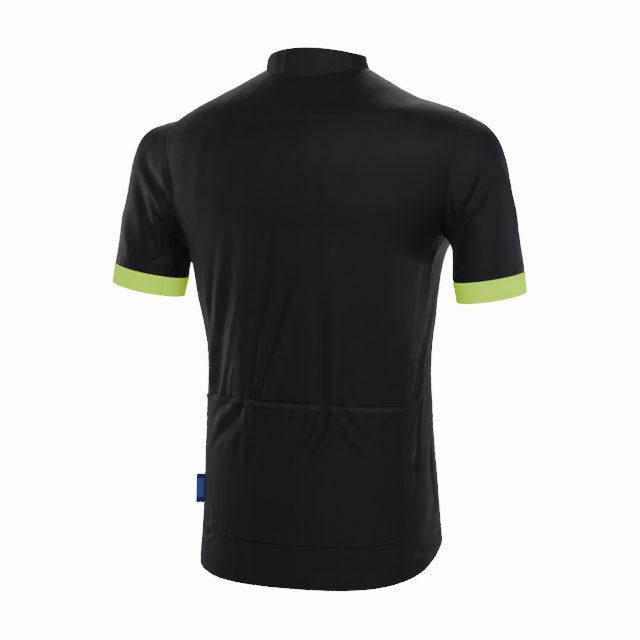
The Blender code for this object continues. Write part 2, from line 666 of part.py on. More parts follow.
def build_label(group, look):
    """Side label, a small flat ribbon that stands out of the left back seam."""
    offsets = edge_offsets("back", 1)
    levels = np.linspace(LABEL_LOW, LABEL_LOW + LABEL_HEIGHT, LABEL_ROWS + 1)
    angle = np.interp(levels, LEVELS, offsets)
    root = body(angle, levels)
    normals = surface_normals(body, angle, levels, ANGLE_STEP, LEVEL_STEP)
    root = root + normals * (POCKET_GAP * 2 + POCKET_WALL)
    out = np.array((math.cos(LABEL_TURN), math.sin(LABEL_TURN), 0.0))
    thick = np.array((-math.sin(LABEL_TURN), math.cos(LABEL_TURN), 0.0)) * LABEL_THICK
    reaches = np.linspace(0.0, LABEL_REACH, LABEL_ROWS + 1)
    face = np.stack([root + out * reach + thick for reach in reaches])
    lining = np.stack([root + out * reach for reach in reaches])
    return wall("side_label", face, lining, group, look)


# ================================================================ zip
def zip_section(surface, half_width, rows, wall_thickness):
    """Closed cross-sections of the zip, one for each row of a surface."""
    half_coil = COIL_WIDTH / 2
    half_tape = TAPE_WIDTH / 2
    tape = -(wall_thickness + TAPE_GAP)
    corners = ((-half_tape, tape), (-half_coil, tape), (-half_coil, -COIL_SINK), (half_coil, -COIL_SINK),
               (half_coil, tape), (half_tape, tape), (half_tape, tape - TAPE_THICK), (0.0, tape - TAPE_THICK),
               (-half_tape, tape - TAPE_THICK))
    sections = []
    for x, lift in corners:
        angle = 270.0 + np.degrees(np.arcsin(x / half_width))
        normals = surface_normals(surface, angle, rows, ANGLE_STEP, LEVEL_STEP)
        sections.append(surface(angle, rows) + normals * lift)
    return np.stack(sections, axis=1)


def build_zip(group, look):
    """Zip tape with its coil, from the hem to the top of the collar."""
    body_width = smooth_rows(BODY_RINGS, LEVELS)[3]
    heights = np.linspace(*ZIP_ON_COLLAR, COLLAR_ROWS + 2)
    collar_width = smooth_rows(COLLAR_RINGS, heights)[3]
    lower = zip_section(body, body_width, LEVELS, BODY_WALL)
    upper = zip_section(collar_surface, collar_width, heights, COLLAR_WALL)
    rings = np.concatenate([lower, upper])
    mesh = bmesh.new()
    grid = add_grid(mesh, rings)
    grid_faces(mesh, grid, True, False)
    mesh.faces.new(grid[0])
    mesh.faces.new(grid[-1])
    bmesh.ops.recalc_face_normals(mesh, faces=mesh.faces)
    return finish_object("zip", mesh, group, look)


def slider_frame():
    """Place of the zip slider: across the zip, up along it and out from it."""
    angle = np.array(270.0)
    height = np.array(SLIDER_HEIGHT)
    middle = Vector(collar_surface(angle, height))
    above = Vector(collar_surface(angle, height + SHARE_STEP))
    below = Vector(collar_surface(angle, height - SHARE_STEP))
    across = Vector((1.0, 0.0, 0.0))
    up = (above - below).normalized()
    out = across.cross(up)
    frame = Matrix((across, up, out)).transposed().to_4x4()
    frame.translation = middle + out * (SEAM_GAP - COIL_SINK)
    return frame


def box(name, group, size, centre, frame):
    """A block of a given size, its centre given in a frame."""
    bpy.ops.mesh.primitive_cube_add(size=1.0)
    made = bpy.context.object
    made.name = name
    made.data.transform(Matrix.Diagonal((*size, 1.0)))
    made.matrix_world = frame @ Matrix.Translation(centre)
    for holder in made.users_collection:
        holder.objects.unlink(made)
    group.objects.link(made)
    return made


def cut_or_join(target, other, operation):
    """Boolean modifier on the target; the other object stays only as its cutter."""
    modifier = target.modifiers.new(other.name, "BOOLEAN")
    modifier.operation = operation
    modifier.object = other
    other.hide_render = True
    other.display_type = "WIRE"


def build_slider(group, cutters, look):
    """Zip slider: a plate with an arch that holds the pull tab."""
    frame = slider_frame()
    plate_top = SLIDER_SIZE[2]
    plate = box("zip_slider", group, SLIDER_SIZE, (0.0, 0.0, plate_top / 2), frame)
    edges = plate.modifiers.new("edges", "BEVEL")
    edges.width = EDGE_ROUNDING
    edges.segments = 2
    plate.data.materials.append(look)
    arch_size = (BRIDGE_SIZE[0], BRIDGE_SIZE[1], BRIDGE_SIZE[2] + BRIDGE_ROOT)
    arch = box("slider_arch", cutters, arch_size,
               (0.0, 0.0, plate_top + (BRIDGE_SIZE[2] - BRIDGE_ROOT) / 2), frame)
    window_low = plate_top - 2 * BRIDGE_ROOT
    window_high = plate_top + BRIDGE_WINDOW[1]
    window = box("arch_window", cutters, (2 * BRIDGE_SIZE[0], BRIDGE_WINDOW[0], window_high - window_low),
                 (0.0, 0.0, (window_low + window_high) / 2), frame)
    cut_or_join(arch, window, "DIFFERENCE")
    cut_or_join(plate, arch, "UNION")


def rounded_outline(width, low, high, radius):
    """Corner arcs of an upright rounded rectangle about x = 0, from its lower right corner."""
    centres = ((width / 2 - radius, low + radius, -90.0), (width / 2 - radius, high - radius, 0.0),
               (radius - width / 2, high - radius, 90.0), (radius - width / 2, low + radius, 180.0))
    points = []
    for x, y, start in centres:
        for step in range(CORNER_STEPS + 1):
            turn = math.radians(start + 90.0 * step / CORNER_STEPS)
            points.append((x + radius * math.cos(turn), y + radius * math.sin(turn)))
    return points


def build_pull(group, look):
    """Pull tab, a flat outline with an eye, hanging from the slider's arch."""
    curve = bpy.data.curves.new("zip_pull", "CURVE")
    curve.dimensions = "2D"
    curve.fill_mode = "BOTH"
    curve.extrude = PULL_THICK / 2
    half_bar = PULL_THICK / 2
    outlines = (rounded_outline(PULL_WIDTH, -PULL_LENGTH, half_bar, PULL_CORNER),
                rounded_outline(PULL_EYE[0], -half_bar - PULL_EYE[1], -half_bar, EYE_CORNER))
    for outline in outlines:
        spline = curve.splines.new("POLY")
        spline.points.add(len(outline) - 1)
        for point, (x, y) in zip(spline.points, outline):
            point.co = (x, y, 0.0, 1.0)
        spline.use_cyclic_u = True
    curve.materials.append(look)
    made = bpy.data.objects.new("zip_pull", curve)
    group.objects.link(made)
    pivot = (0.0, 0.0, SLIDER_SIZE[2] + BRIDGE_WINDOW[1] / 2)
    made.matrix_world = slider_frame() @ Matrix.Translation(pivot)


# ================================================================ the whole jersey
def main():
    """Builds every piece of the jersey."""
    clear_scene()
    group = new_collection("cycling_jersey")
    black = material("black_knit", BLACK_KNIT)
    mesh_grey = material("grey_side_mesh", GREY_MESH)
    fluoro = material("fluorescent_knit", FLUORO_KNIT)
    nylon = material("black_nylon", BLACK_NYLON)

    build_back(group, black)
    build_front("front_panel_left", 1, group, black)
    build_front("front_panel_right", -1, group, black)
    build_side("side_panel_left", 1, group, mesh_grey)
    build_side("side_panel_right", -1, group, mesh_grey)
    for sleeve in SLEEVES:
        build_sleeve(sleeve, group, black)
        build_cuff(sleeve, group, fluoro)
    build_collar(group, black)
    build_pocket(group, black)
    build_binding(group, black)
    build_label(group, material("blue_ribbon", BLUE_RIBBON))
    build_zip(group, nylon)
    metal = material("dark_metal", DARK_METAL)
    build_slider(group, new_collection("cutters"), metal)
    build_pull(group, metal)


main()
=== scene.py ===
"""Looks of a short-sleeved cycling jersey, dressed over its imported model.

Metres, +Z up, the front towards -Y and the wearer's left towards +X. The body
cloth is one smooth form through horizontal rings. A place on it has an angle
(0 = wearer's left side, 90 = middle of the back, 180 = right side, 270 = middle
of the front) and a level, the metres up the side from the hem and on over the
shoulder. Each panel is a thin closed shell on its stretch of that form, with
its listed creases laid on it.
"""

import logging
import math
from dataclasses import dataclass
from enum import Enum
from typing import Callable, Iterable, NamedTuple, Sequence

import bpy
import numpy as np
from mathutils import Matrix, Vector


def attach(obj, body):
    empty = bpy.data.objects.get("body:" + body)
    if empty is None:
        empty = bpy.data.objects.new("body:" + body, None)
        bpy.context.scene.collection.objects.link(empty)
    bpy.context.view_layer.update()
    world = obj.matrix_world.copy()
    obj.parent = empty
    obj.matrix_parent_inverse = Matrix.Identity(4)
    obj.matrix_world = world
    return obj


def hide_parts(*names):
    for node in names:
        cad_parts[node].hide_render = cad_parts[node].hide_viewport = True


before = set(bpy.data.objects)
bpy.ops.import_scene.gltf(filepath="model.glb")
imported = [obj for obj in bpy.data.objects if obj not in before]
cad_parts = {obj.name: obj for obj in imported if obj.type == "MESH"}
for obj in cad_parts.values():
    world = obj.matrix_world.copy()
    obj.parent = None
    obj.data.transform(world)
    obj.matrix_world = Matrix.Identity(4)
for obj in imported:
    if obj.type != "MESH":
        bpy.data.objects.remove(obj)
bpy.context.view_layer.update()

log = logging.getLogger("jersey")
Array = np.ndarray
Triple = tuple[float, float, float]
Piece, Look, Socket = bpy.types.Object, bpy.types.Material, bpy.types.NodeSocket
UV_MAP = "cloth"
MM = 1000.0                     # millimetres in a metre
EDGE_STEPS = (0.0, 0.0005, 0.0010, 0.0017, 0.0026, 0.0040, 0.0060)    # close-set points at an edge
SIDE_NAMES = {1: "left", -1: "right"}


# ------------------------ number tools
def smooth_rows(rows: Sequence[Sequence[float]], places: Array) -> list[Array]:
    """Columns of a table at the given places, on smooth curves through its rows.

    Args:
        rows: Rows that start with their place, in rising order.
        places: Where the columns are wanted.

    Returns:
        One array for each column after the first.
    """
    table = np.array([tuple(row) for row in rows], dtype=float)
    knots, values = table[:, 0], table[:, 1:]
    slopes = np.gradient(values, knots, axis=0)
    places = np.clip(places, knots[0], knots[-1])
    low = np.clip(np.searchsorted(knots, places, side="right") - 1, 0, len(knots) - 2)
    width = (knots[low + 1] - knots[low])[..., None]
    t = (places - knots[low])[..., None] / width
    value = (values[low] * (2 * t**3 - 3 * t**2 + 1) + values[low + 1] * (3 * t**2 - 2 * t**3)
             + slopes[low] * width * (t**3 - 2 * t**2 + t) + slopes[low + 1] * width * (t**3 - t**2))
    return [value[..., column] for column in range(values.shape[1])]


def smooth_step(low: float, high: float, value: Array) -> Array:
    """0 below low, 1 above high, and an even S-curve between."""
    t = np.clip((value - low) / (high - low), 0.0, 1.0)
    return t * t * (3.0 - 2.0 * t)


def unit(vectors: Array) -> Array:
    """The vectors at length one."""
    return vectors / np.maximum(np.linalg.norm(vectors, axis=-1, keepdims=True), 1e-12)


def bell(value: Array, middle: float, half_width: float) -> Array:
    """1 at the middle, fading evenly to both sides."""
    return np.exp(-((value - middle) / half_width) ** 2)


def uneven_wave(along: Array, pitch: float, sway: float, drift: float) -> Array:
    """A wave along a seam, from -1 to 1, whose crests wander by sway over each drift."""
    return np.sin(math.tau * along / pitch + sway * np.sin(math.tau * along / drift))


def run_along(points: Array) -> Array:
    """Distance along a line of points, from its start."""
    return np.concatenate([[0.0], np.cumsum(np.linalg.norm(np.diff(points, axis=0), axis=1))])


def rows_at(spots: Array, run: Array, rows: Array) -> Array:
    """Points or directions at some spots along a line, from those at its own run."""
    return np.stack([np.interp(spots, run, rows[:, axis]) for axis in range(3)], axis=-1)


def edge_spaced(count: int, width: float) -> Array:
    """Shares from 0 to 1, set close together near both ends.

    Args:
        count: Steps between the two close-set ends.
        width: Length that the shares run over, in metres.

    Returns:
        The shares.
    """
    close = np.array(EDGE_STEPS) / width
    middle = np.linspace(close[-1], 1.0 - close[-1], count + 1)[1:-1]
    return np.concatenate([close, middle, 1.0 - close[::-1]])


# ------------------------ the body's form
ANGLE_STEP = 0.2        # degrees, for normals
LEVEL_STEP = 0.0005
SHARE_STEP = 0.01       # the same for a form whose level runs from 0 to 1


class Ring(NamedTuple):
    """One horizontal ring of the body cloth.

    level: place along the side. side_z, back_z, front_z: heights. half_width,
    back_depth, front_depth: reaches in X, +Y and -Y from the line at middle_y.
    square: 2 is an ellipse, more is boxier. arch: 1 falls evenly to both sides of
    the shoulder line. tilt: rise towards the wearer's left, per metre.
    """

    level: float
    side_z: float
    back_z: float
    front_z: float
    half_width: float
    back_depth: float
    front_depth: float
    middle_y: float
    square: float
    arch: float
    tilt: float


BODY_RINGS = (
    Ring(0.000, -0.653, -0.6845, -0.619, 0.1695, 0.132, 0.132, -0.008, 2.25, 0.0, 0.000),   # hem
    Ring(0.090, -0.563, -0.580, -0.542, 0.1630, 0.127, 0.129, -0.008, 2.25, 0.0, 0.010),   # hip
    Ring(0.207, -0.446, -0.441, -0.448, 0.1565, 0.120, 0.123, -0.006, 2.25, 0.0, 0.030),   # pocket
    Ring(0.273, -0.380, -0.378, -0.380, 0.1555, 0.117, 0.123, 0.000, 2.25, 0.0, 0.020),    # waist
    Ring(0.343, -0.310, -0.308, -0.311, 0.1660, 0.115, 0.131, 0.007, 2.30, 0.0, 0.000),    # ribs
    Ring(0.428, -0.225, -0.226, -0.230, 0.1875, 0.119, 0.135, 0.006, 2.28, 0.35, 0.001),   # armpit
    Ring(0.483, -0.166, -0.172, -0.184, 0.2320, 0.124, 0.133, 0.003, 2.10, 0.6, 0.015),    # chest
    Ring(0.543, -0.096, -0.115, -0.142, 0.2470, 0.121, 0.121, 0.000, 2.10, 0.8, 0.005),    # blade
    Ring(0.596, -0.059, -0.073, -0.112, 0.2020, 0.105, 0.104, 0.000, 2.15, 1.0, 0.002),    # tip
    Ring(0.651, -0.0295, -0.041, -0.090, 0.1340, 0.084, 0.088, 0.000, 2.20, 1.0, 0.033),   # shoulder
    Ring(0.700, 0.0040, -0.012, -0.072, 0.0720, 0.062, 0.072, 0.000, 2.00, 1.0, 0.020),    # neck
)
COLLAR_RINGS = (
    Ring(0.000, 0.0040, -0.012, -0.072, 0.0720, 0.062, 0.072, 0.0, 2.0, 1.0, 0.020),   # neck seam
    Ring(0.500, 0.0130, 0.0085, -0.052, 0.0700, 0.060, 0.068, 0.0, 2.0, 1.0, 0.015),   # half way
    Ring(1.000, 0.0200, 0.0270, -0.031, 0.0675, 0.058, 0.064, 0.0, 2.0, 1.0, 0.010),   # top edge
)


@dataclass(frozen=True)
class RingForm:
    """A smooth surface through a table of rings."""

    rings: tuple[Ring, ...]

    def point(self, angle: Array, level: Array) -> Array:
        """Points of the form.

        Args:
            angle: Places round it, in degrees.
            level: Places up it.

        Returns:
            The points.
        """
        (side_z, back_z, front_z, half_width, back_depth, front_depth, middle_y, square,
         arch, tilt) = smooth_rows(self.rings, level)
        cosine, sine = np.cos(np.radians(angle)), np.sin(np.radians(angle))
        swell = (np.abs(cosine) ** square + np.abs(sine) ** square) ** (-1.0 / square)
        to_back = sine >= 0.0
        depth = np.where(to_back, back_depth, front_depth)
        middle_z = np.where(to_back, back_z, front_z)
        fall = arch * sine**2 + (1.0 - arch) * (1.5 * np.abs(sine) - 0.5 * np.abs(sine) ** 3)
        x = half_width * cosine * swell
        return np.stack([x, middle_y + depth * sine * swell,
                         side_z + (middle_z - side_z) * fall + tilt * x], axis=-1)

    def normal(self, angle: Array, level: Array, step: float = LEVEL_STEP) -> Array:
        """Outward normals, by small steps both ways.

        Args:
            angle: Places round the form, in degrees.
            level: Places up it.
            step: The small step up it.

        Returns:
            The normals.
        """
        along = self.point(angle + ANGLE_STEP, level) - self.point(angle - ANGLE_STEP, level)
        up = self.point(angle, level + step) - self.point(angle, level - step)
        return unit(np.cross(along, up))


# ------------------------ creases
class Face(Enum):
    """The side of the jersey that a crease lies on, as the direction it faces."""

    BACK = (0.0, 1.0, 0.0)
    FRONT = (0.0, -1.0, 0.0)
    LEFT = (1.0, 0.0, 0.0)
    RIGHT = (-1.0, 0.0, 0.0)

    @property
    def axis(self) -> int:
        """The axis that runs across this side."""
        return 0 if self.value[1] else 1


class Fold(Enum):
    """Cross-section of a crease."""

    RIDGE = "ridge"
    TROUGH = "trough"
    PLEAT = "pleat"
    SWELL = "swell"


def rounded_path(path: Sequence[tuple[float, float]], steps: int = 4) -> Array:
    """A path of a few points made into a smooth one.

    Args:
        path: Its points, in millimetres.
        steps: How many stretches each gap between two of them is parted into.

    Returns:
        The points of the smooth path, in metres.
    """
    points = np.array(path, dtype=float) / MM
    if len(points) < 3:
        return points
    rows = [(float(index), *point) for index, point in enumerate(points)]
    return np.stack(smooth_rows(rows, np.linspace(0, len(points) - 1, steps * (len(points) - 1) + 1)), -1)


CREASE_FACING = (0.1, 0.6)              # how squarely cloth faces a crease's side, from none of it to all
CREASE_REACH = 3.5                      # widths from its path at which a crease has died away
CREASE_WANDER = 0.22                    # how uneven its width is
CREASE_WANDER_LENGTHS = (0.0085, 0.019)
CREASE_PHASE = 90.0                     # sets the unevenness of one crease apart from the next


@dataclass(frozen=True)
class Crease:
    """One soft crease, drawn on a side of the jersey.

    path runs through points given across the side (X on the back and front, Y on
    the sides) and up it (Z). width is half its breadth and rise its greatest height.
    All of these are in millimetres. fade holds the shares of its length in which its
    first and last ends die away.
    """

    face: Face
    fold: Fold
    width: float
    rise: float
    path: tuple[tuple[float, float], ...]
    fade: tuple[float, float] = (0.32, 0.32)

    def section(self, q: Array) -> Array:
        """The shape of its cross-section.

        Args:
            q: Distances from its path, in widths.

        Returns:
            Shares of its rise there.
        """
        if self.fold is Fold.PLEAT:
            return 1.6 * q * np.exp(-q * q)
        if self.fold is Fold.SWELL:
            return np.exp(-0.8 * q * q)
        hat = (1.0 - 0.45 * q * q) * np.exp(-0.7 * q * q)
        return hat if self.fold is Fold.RIDGE else -hat

    def relief(self, points: Array, normals: Array) -> Array:
        """How far the crease moves each point along its normal.

        Args:
            points: Points of the even cloth.
            normals: Its normals there.

        Returns:
            The height at each point.
        """
        flat = points.reshape(-1, 3)
        spots = flat[:, [self.face.axis, 2]]
        facing = smooth_step(*CREASE_FACING, normals.reshape(-1, 3) @ np.array(self.face.value))
        path = rounded_path(self.path)
        reach = CREASE_REACH * self.width / MM
        near = np.all((spots > path.min(axis=0) - reach) & (spots < path.max(axis=0) + reach), axis=1)
        near &= facing > 0.0
        result = np.zeros(len(flat))
        if near.any():
            result[near] = self.height_beside(spots[near], path) * facing[near]
        return result.reshape(points.shape[:-1])

    def height_beside(self, spots: Array, path: Array) -> Array:
        """Height near the path, uneven along it and thin at both ends.

        Args:
            spots: Flat places, across the side and up it.
            path: Points of the smooth path.

        Returns:
            The height at each place.
        """
        nearest = np.full(len(spots), np.inf)
        side = np.zeros(len(spots))
        along = np.zeros(len(spots))
        run = 0.0
        for start, end in zip(path[:-1], path[1:]):
            step = end - start
            length = float(np.hypot(*step))
            away = spots - start
            share = np.clip(away @ step / length**2, 0.0, 1.0)
            distance = np.linalg.norm(away - share[:, None] * step, axis=1)
            closer = distance < nearest
            nearest = np.where(closer, distance, nearest)
            turn = step[0] * away[:, 1] - step[1] * away[:, 0]
            side = np.where(closer, np.copysign(distance, turn), side)
            along = np.where(closer, run + share * length, along)
            run += length
        phase = CREASE_PHASE * (path[0, 0] + path[0, 1])
        short, long = CREASE_WANDER_LENGTHS
        wander = 1.0 + CREASE_WANDER * np.sin(along / short + phase) * np.sin(along / long + 2.0 * phase)
        ends = smooth_step(0.0, self.fade[0], along / run) * smooth_step(0.0, self.fade[1], 1.0 - along / run)
        across = side / (self.width / MM * wander)
        return self.rise / MM * self.section(across) * ends * (0.8 + 0.2 * wander)


# short names for the tables of creases
R, T, P, S = Fold.RIDGE, Fold.TROUGH, Fold.PLEAT, Fold.SWELL
B, F, LE, RI = Face.BACK, Face.FRONT, Face.LEFT, Face.RIGHT
SEWN_LOW, SEWN_HIGH = (0.45, 0.05), (0.05, 0.40)    # folds that run full into a seam at one end
BODY_CREASES = (
    # back, from the shoulder blades down to the pocket
    Crease(B, R, 6.4, 2.0, ((123, -228), (124, -286), (125, -332), (126, -377), (134, -446)), SEWN_LOW),
    Crease(B, T, 6.0, 1.4, ((100, -208), (110, -275), (118, -319), (124, -352))),
    Crease(B, R, 8.0, 2.6, ((84, -204), (91, -241), (99, -281), (107, -326), (121, -373),
           (132, -432)), SEWN_LOW),
    Crease(B, T, 7.5, 2.4, ((68, -198), (79, -263), (86, -307), (97, -341), (106, -382),
           (120, -448)), SEWN_LOW),
    Crease(B, R, 5.8, 1.8, ((61, -241), (66, -297), (74, -330), (86, -370), (95, -398),
           (110, -444)), SEWN_LOW),
    Crease(B, S, 14.0, 3.6, ((43, -195), (47, -241), (52, -284), (60, -329), (67, -373),
           (72, -448)), SEWN_LOW),
    Crease(B, R, 4.2, 1.8, ((78, -385), (91, -442)), SEWN_LOW),
    Crease(B, R, 4.5, 1.8, ((63, -373), (62, -400), (63, -444)), SEWN_LOW),
    Crease(B, T, 10.5, 4.0, ((15, -204), (20, -240), (27, -284), (36, -328), (45, -372),
           (56, -444)), SEWN_LOW),
    Crease(B, P, 4.5, -1.0, ((9, -200), (11, -224), (14, -250))),
    Crease(B, R, 7.2, 2.8, ((0, -251), (8, -283), (15, -323), (27, -361), (35, -394),
           (49, -444)), SEWN_LOW),
    Crease(B, T, 7.0, 3.2, ((-11, -256), (-4, -296), (7, -328), (18, -361), (28, -389),
           (42, -446)), SEWN_LOW),
    Crease(B, R, 8.0, 2.8, ((-29, -263), (-18, -296), (-8, -327), (3, -360), (12, -387),
           (30, -445)), SEWN_LOW),
    Crease(B, T, 11.0, 2.2, ((-51, -256), (-49, -344), (-49, -445)), SEWN_LOW),
    Crease(B, R, 12.0, 2.0, ((-76, -255), (-70, -343), (-64, -445)), SEWN_LOW),
    Crease(B, T, 8.5, 1.8, ((-92, -304), (-85, -369), (-78, -445)), SEWN_LOW),
    # pocket panel
    Crease(B, T, 5.2, 1.7, ((84, -441), (106, -455), (124, -477)), SEWN_HIGH),
    Crease(B, R, 6.2, 2.0, ((62, -437), (83, -453), (105, -474), (124, -504)), SEWN_HIGH),
    Crease(B, T, 5.8, 2.1, ((60, -443), (80, -469), (102, -488), (117, -506), (130, -527)), SEWN_HIGH),
    Crease(B, R, 6.2, 1.9, ((54, -437), (62, -470), (83, -499), (100, -526)), SEWN_HIGH),
    Crease(B, R, 4.0, 1.4, ((76, -501), (83, -515))),
    Crease(B, R, 7.2, 1.9, ((54, -446), (57, -493), (63, -540)), SEWN_HIGH),
    Crease(B, T, 4.5, 2.4, ((47, -437), (48, -481)), SEWN_HIGH),
    Crease(B, T, 5.5, 1.8, ((33, -437), (33, -491)), SEWN_HIGH),
    Crease(B, T, 10.0, 2.8, ((-54, -443), (-43, -483), (-27, -507), (-8, -524)), SEWN_HIGH),
    Crease(B, R, 5.5, 2.4, ((-42, -445), (-27, -486), (-11, -513)), SEWN_HIGH),
    Crease(B, R, 6.2, 2.8, ((-65, -445), (-58, -483), (-43, -507), (-24, -528)), SEWN_HIGH),
    Crease(B, T, 5.0, 1.6, ((-30, -444), (-21, -471), (-4, -485)), SEWN_HIGH),
    Crease(B, T, 4.5, 1.4, ((-11, -440), (-5, -463), (3, -476)), SEWN_HIGH),
    Crease(B, T, 5.0, 2.6, ((-71, -440), (-86, -467), (-103, -490), (-118, -507)), SEWN_HIGH),
    Crease(B, R, 6.0, 2.6, ((-64, -443), (-81, -474), (-97, -496), (-112, -510)), SEWN_HIGH),
    Crease(B, T, 5.0, 1.8, ((-131, -458), (-126, -467))),
    Crease(B, R, 4.5, 1.2, ((124, -578), (117, -598), (127, -611))),
    Crease(B, T, 4.0, 1.8, ((136, -612), (114, -607))),
    Crease(B, R, 4.5, 1.2, ((135, -622), (110, -612))),
    Crease(B, T, 4.0, 1.6, ((137, -632), (112, -620))),
    Crease(B, R, 4.0, 1.6, ((137, -641), (111, -628))),
    # wearer's right side
    Crease(RI, R, 6.6, 3.6, ((18, -222), (29, -263), (24, -324), (19, -347), (27, -382))),
    Crease(RI, T, 5.5, 2.4, ((44, -250), (40, -300), (36, -370))),
    Crease(RI, R, 4.5, 1.8, ((-7, -280), (-4, -310), (0, -364), (23, -437))),
    Crease(RI, T, 5.0, 2.0, ((12, -300), (12, -360), (30, -425))),
    Crease(RI, R, 5.0, 2.0, ((2, -395), (14, -424), (26, -446))),
    Crease(RI, R, 4.5, 1.8, ((30, -385), (35, -402), (44, -441))),
    Crease(RI, R, 5.0, 1.8, ((7, -415), (16, -460), (26, -502))),
    Crease(RI, R, 3.6, 1.4, ((45, -429), (47, -491), (48, -557))),
    Crease(RI, R, 4.5, 1.8, ((36, -470), (42, -492), (40, -515))),
    Crease(RI, T, 6.0, 2.4, ((26, -455), (27, -500), (42, -545))),
    Crease(RI, R, 4.5, 1.8, ((48, -515), (55, -535), (59, -560))),
    Crease(RI, R, 4.5, 1.6, ((40, -522), (46, -545), (49, -566))),
    Crease(RI, R, 7.0, 0.9, ((58, -632), (36, -640), (14, -649))),
    Crease(RI, R, 6.0, 2.0, ((-30, -300), (-26, -360), (-34, -430))),
    Crease(RI, T, 6.0, 1.8, ((-18, -480), (-14, -540), (-24, -600))),
    # wearer's left side
    Crease(LE, R, 6.0, 2.6, ((44, -235), (30, -270), (26, -340), (30, -400))),
    Crease(LE, T, 5.5, 2.0, ((12, -280), (10, -340), (24, -420))),
    Crease(LE, R, 5.0, 2.0, ((-10, -300), (-6, -360), (10, -430))),
    Crease(LE, R, 5.5, 2.2, ((10, -450), (14, -500), (34, -550))),
    Crease(LE, T, 5.5, 2.0, ((44, -460), (40, -510), (52, -560))),
    Crease(LE, T, 6.0, 1.8, ((-24, -470), (-18, -540), (-30, -600))),
    # front
    Crease(F, S, 16.0, 2.8, ((60, -190), (78, -270), (92, -350))),
    Crease(F, R, 7.0, 2.2, ((48, -215), (62, -290), (82, -365), (100, -420))),
    Crease(F, T, 7.5, 2.6, ((36, -230), (46, -310), (66, -390))),
    Crease(F, S, 16.0, 3.0, ((-60, -200), (-80, -280), (-96, -360))),
    Crease(F, R, 6.5, 2.2, ((-50, -225), (-66, -305), (-88, -375), (-108, -430))),
    Crease(F, T, 8.0, 2.6, ((-34, -250), (-48, -320), (-70, -405))),
    Crease(F, S, 15.0, 2.8, ((104, -330), (88, -420), (60, -520))),
    Crease(F, T, 7.0, 2.4, ((120, -400), (100, -470), (84, -560))),
    Crease(F, S, 16.0, 2.8, ((-106, -350), (-82, -440), (-55, -540))),
    Crease(F, T, 7.0, 2.2, ((-124, -410), (-104, -490), (-86, -570))),
    Crease(F, R, 6.0, 1.6, ((40, -430), (44, -500), (50, -580))),
    Crease(F, R, 6.0, 1.6, ((-34, -440), (-40, -510), (-44, -575))),
    Crease(F, P, 8.0, 1.6, ((150, -150), (110, -205), (80, -240))),
    Crease(F, P, 8.0, 1.6, ((-152, -140), (-114, -200), (-78, -238))),
)
SLEEVE_CREASES = (
    # left sleeve
    Crease(B, T, 9.5, 4.2, ((240, -100), (220, -137), (196, -163), (183, -185), (174, -206)), SEWN_LOW),
    Crease(B, R, 9.0, 1.0, ((240, -118), (219, -153), (202, -180))),
    Crease(B, T, 8.0, 4.0, ((246, -133), (233, -171), (221, -204), (213, -235), (209, -262)), SEWN_LOW),
    Crease(B, R, 7.4, 1.2, ((226, -170), (214, -212), (207, -240))),
    Crease(B, T, 6.0, 3.4, ((223, -157), (206, -190), (201, -224), (199, -256)), SEWN_LOW),
    Crease(B, R, 9.0, 1.6, ((274, -180), (262, -226), (250, -262))),
    Crease(LE, R, 9.0, 1.6, ((60, -170), (30, -220), (12, -262))),
    Crease(LE, T, 9.0, 1.6, ((20, -130), (-6, -185), (-20, -245))),
    Crease(F, T, 9.0, 3.4, ((250, -110), (230, -146), (200, -194))),
    Crease(F, T, 8.0, 2.6, ((264, -148), (246, -194), (228, -242))),
    Crease(F, R, 8.0, 2.4, ((258, -124), (240, -166), (212, -218))),
    # right sleeve
    Crease(B, T, 6.5, 2.0, ((-203, -158), (-204, -179), (-208, -191), (-203, -200))),
    Crease(B, T, 6.5, 2.6, ((-244, -138), (-238, -163), (-229, -179), (-219, -193),
           (-204, -212)), SEWN_LOW),
    Crease(B, R, 6.0, 2.8, ((-251, -140), (-242, -167), (-232, -185), (-219, -202))),
    Crease(B, T, 7.5, 2.8, ((-260, -118), (-261, -144), (-255, -166), (-246, -183), (-230, -199),
           (-214, -212)), SEWN_LOW),
    Crease(B, R, 4.0, 1.8, ((-218, -178), (-212, -196))),
    Crease(B, R, 5.5, 2.6, ((-252, -200), (-226, -211))),
    Crease(B, T, 5.5, 1.8, ((-254, -213), (-210, -218)), SEWN_LOW),
    Crease(B, R, 4.2, 1.6, ((-225, -100), (-212, -109))),
    Crease(B, R, 4.2, 1.6, ((-226, -114), (-212, -121))),
    Crease(B, R, 6.0, 1.8, ((-214, -252), (-231, -268))),
    Crease(RI, R, 9.0, 2.6, ((50, -110), (30, -170), (22, -240))),
    Crease(RI, T, 9.0, 2.4, ((10, -120), (-2, -180), (-6, -250))),
    Crease(F, T, 9.0, 3.4, ((-248, -105), (-230, -144), (-200, -188))),
    Crease(F, T, 8.0, 2.6, ((-264, -158), (-246, -198), (-224, -238))),
    Crease(F, R, 8.0, 2.2, ((-256, -128), (-240, -170), (-210, -214))),
)


WAVE_STRETCH = (1.0, 1.0, 0.55)     # waves run longer up the jersey than round it


@dataclass(frozen=True)
class Undulation:
    """Long, shallow waves that keep cloth from lying perfectly even."""

    seed: int
    height: float
    shortest: float
    longest: float
    count: int = 7

    def relief(self, points: Array) -> Array:
        """Height of the waves.

        Args:
            points: Points of the cloth.

        Returns:
            The height at each point.
        """
        draw = np.random.default_rng(self.seed)
        total = np.zeros(points.shape[:-1])
        for _ in range(self.count):
            direction = unit(draw.normal(size=3)) * np.array(WAVE_STRETCH)
            length = draw.uniform(self.shortest, self.longest)
            total += np.sin(math.tau * (points @ direction) / length + draw.uniform(0.0, math.tau))
        return total * self.height / math.sqrt(self.count)


BODY_WAVES = (Undulation(3, 0.0008, 0.070, 0.150), Undulation(5, 0.00028, 0.022, 0.045))
SLEEVE_WAVES = (Undulation(11, 0.0007, 0.050, 0.110), Undulation(13, 0.00025, 0.018, 0.036))


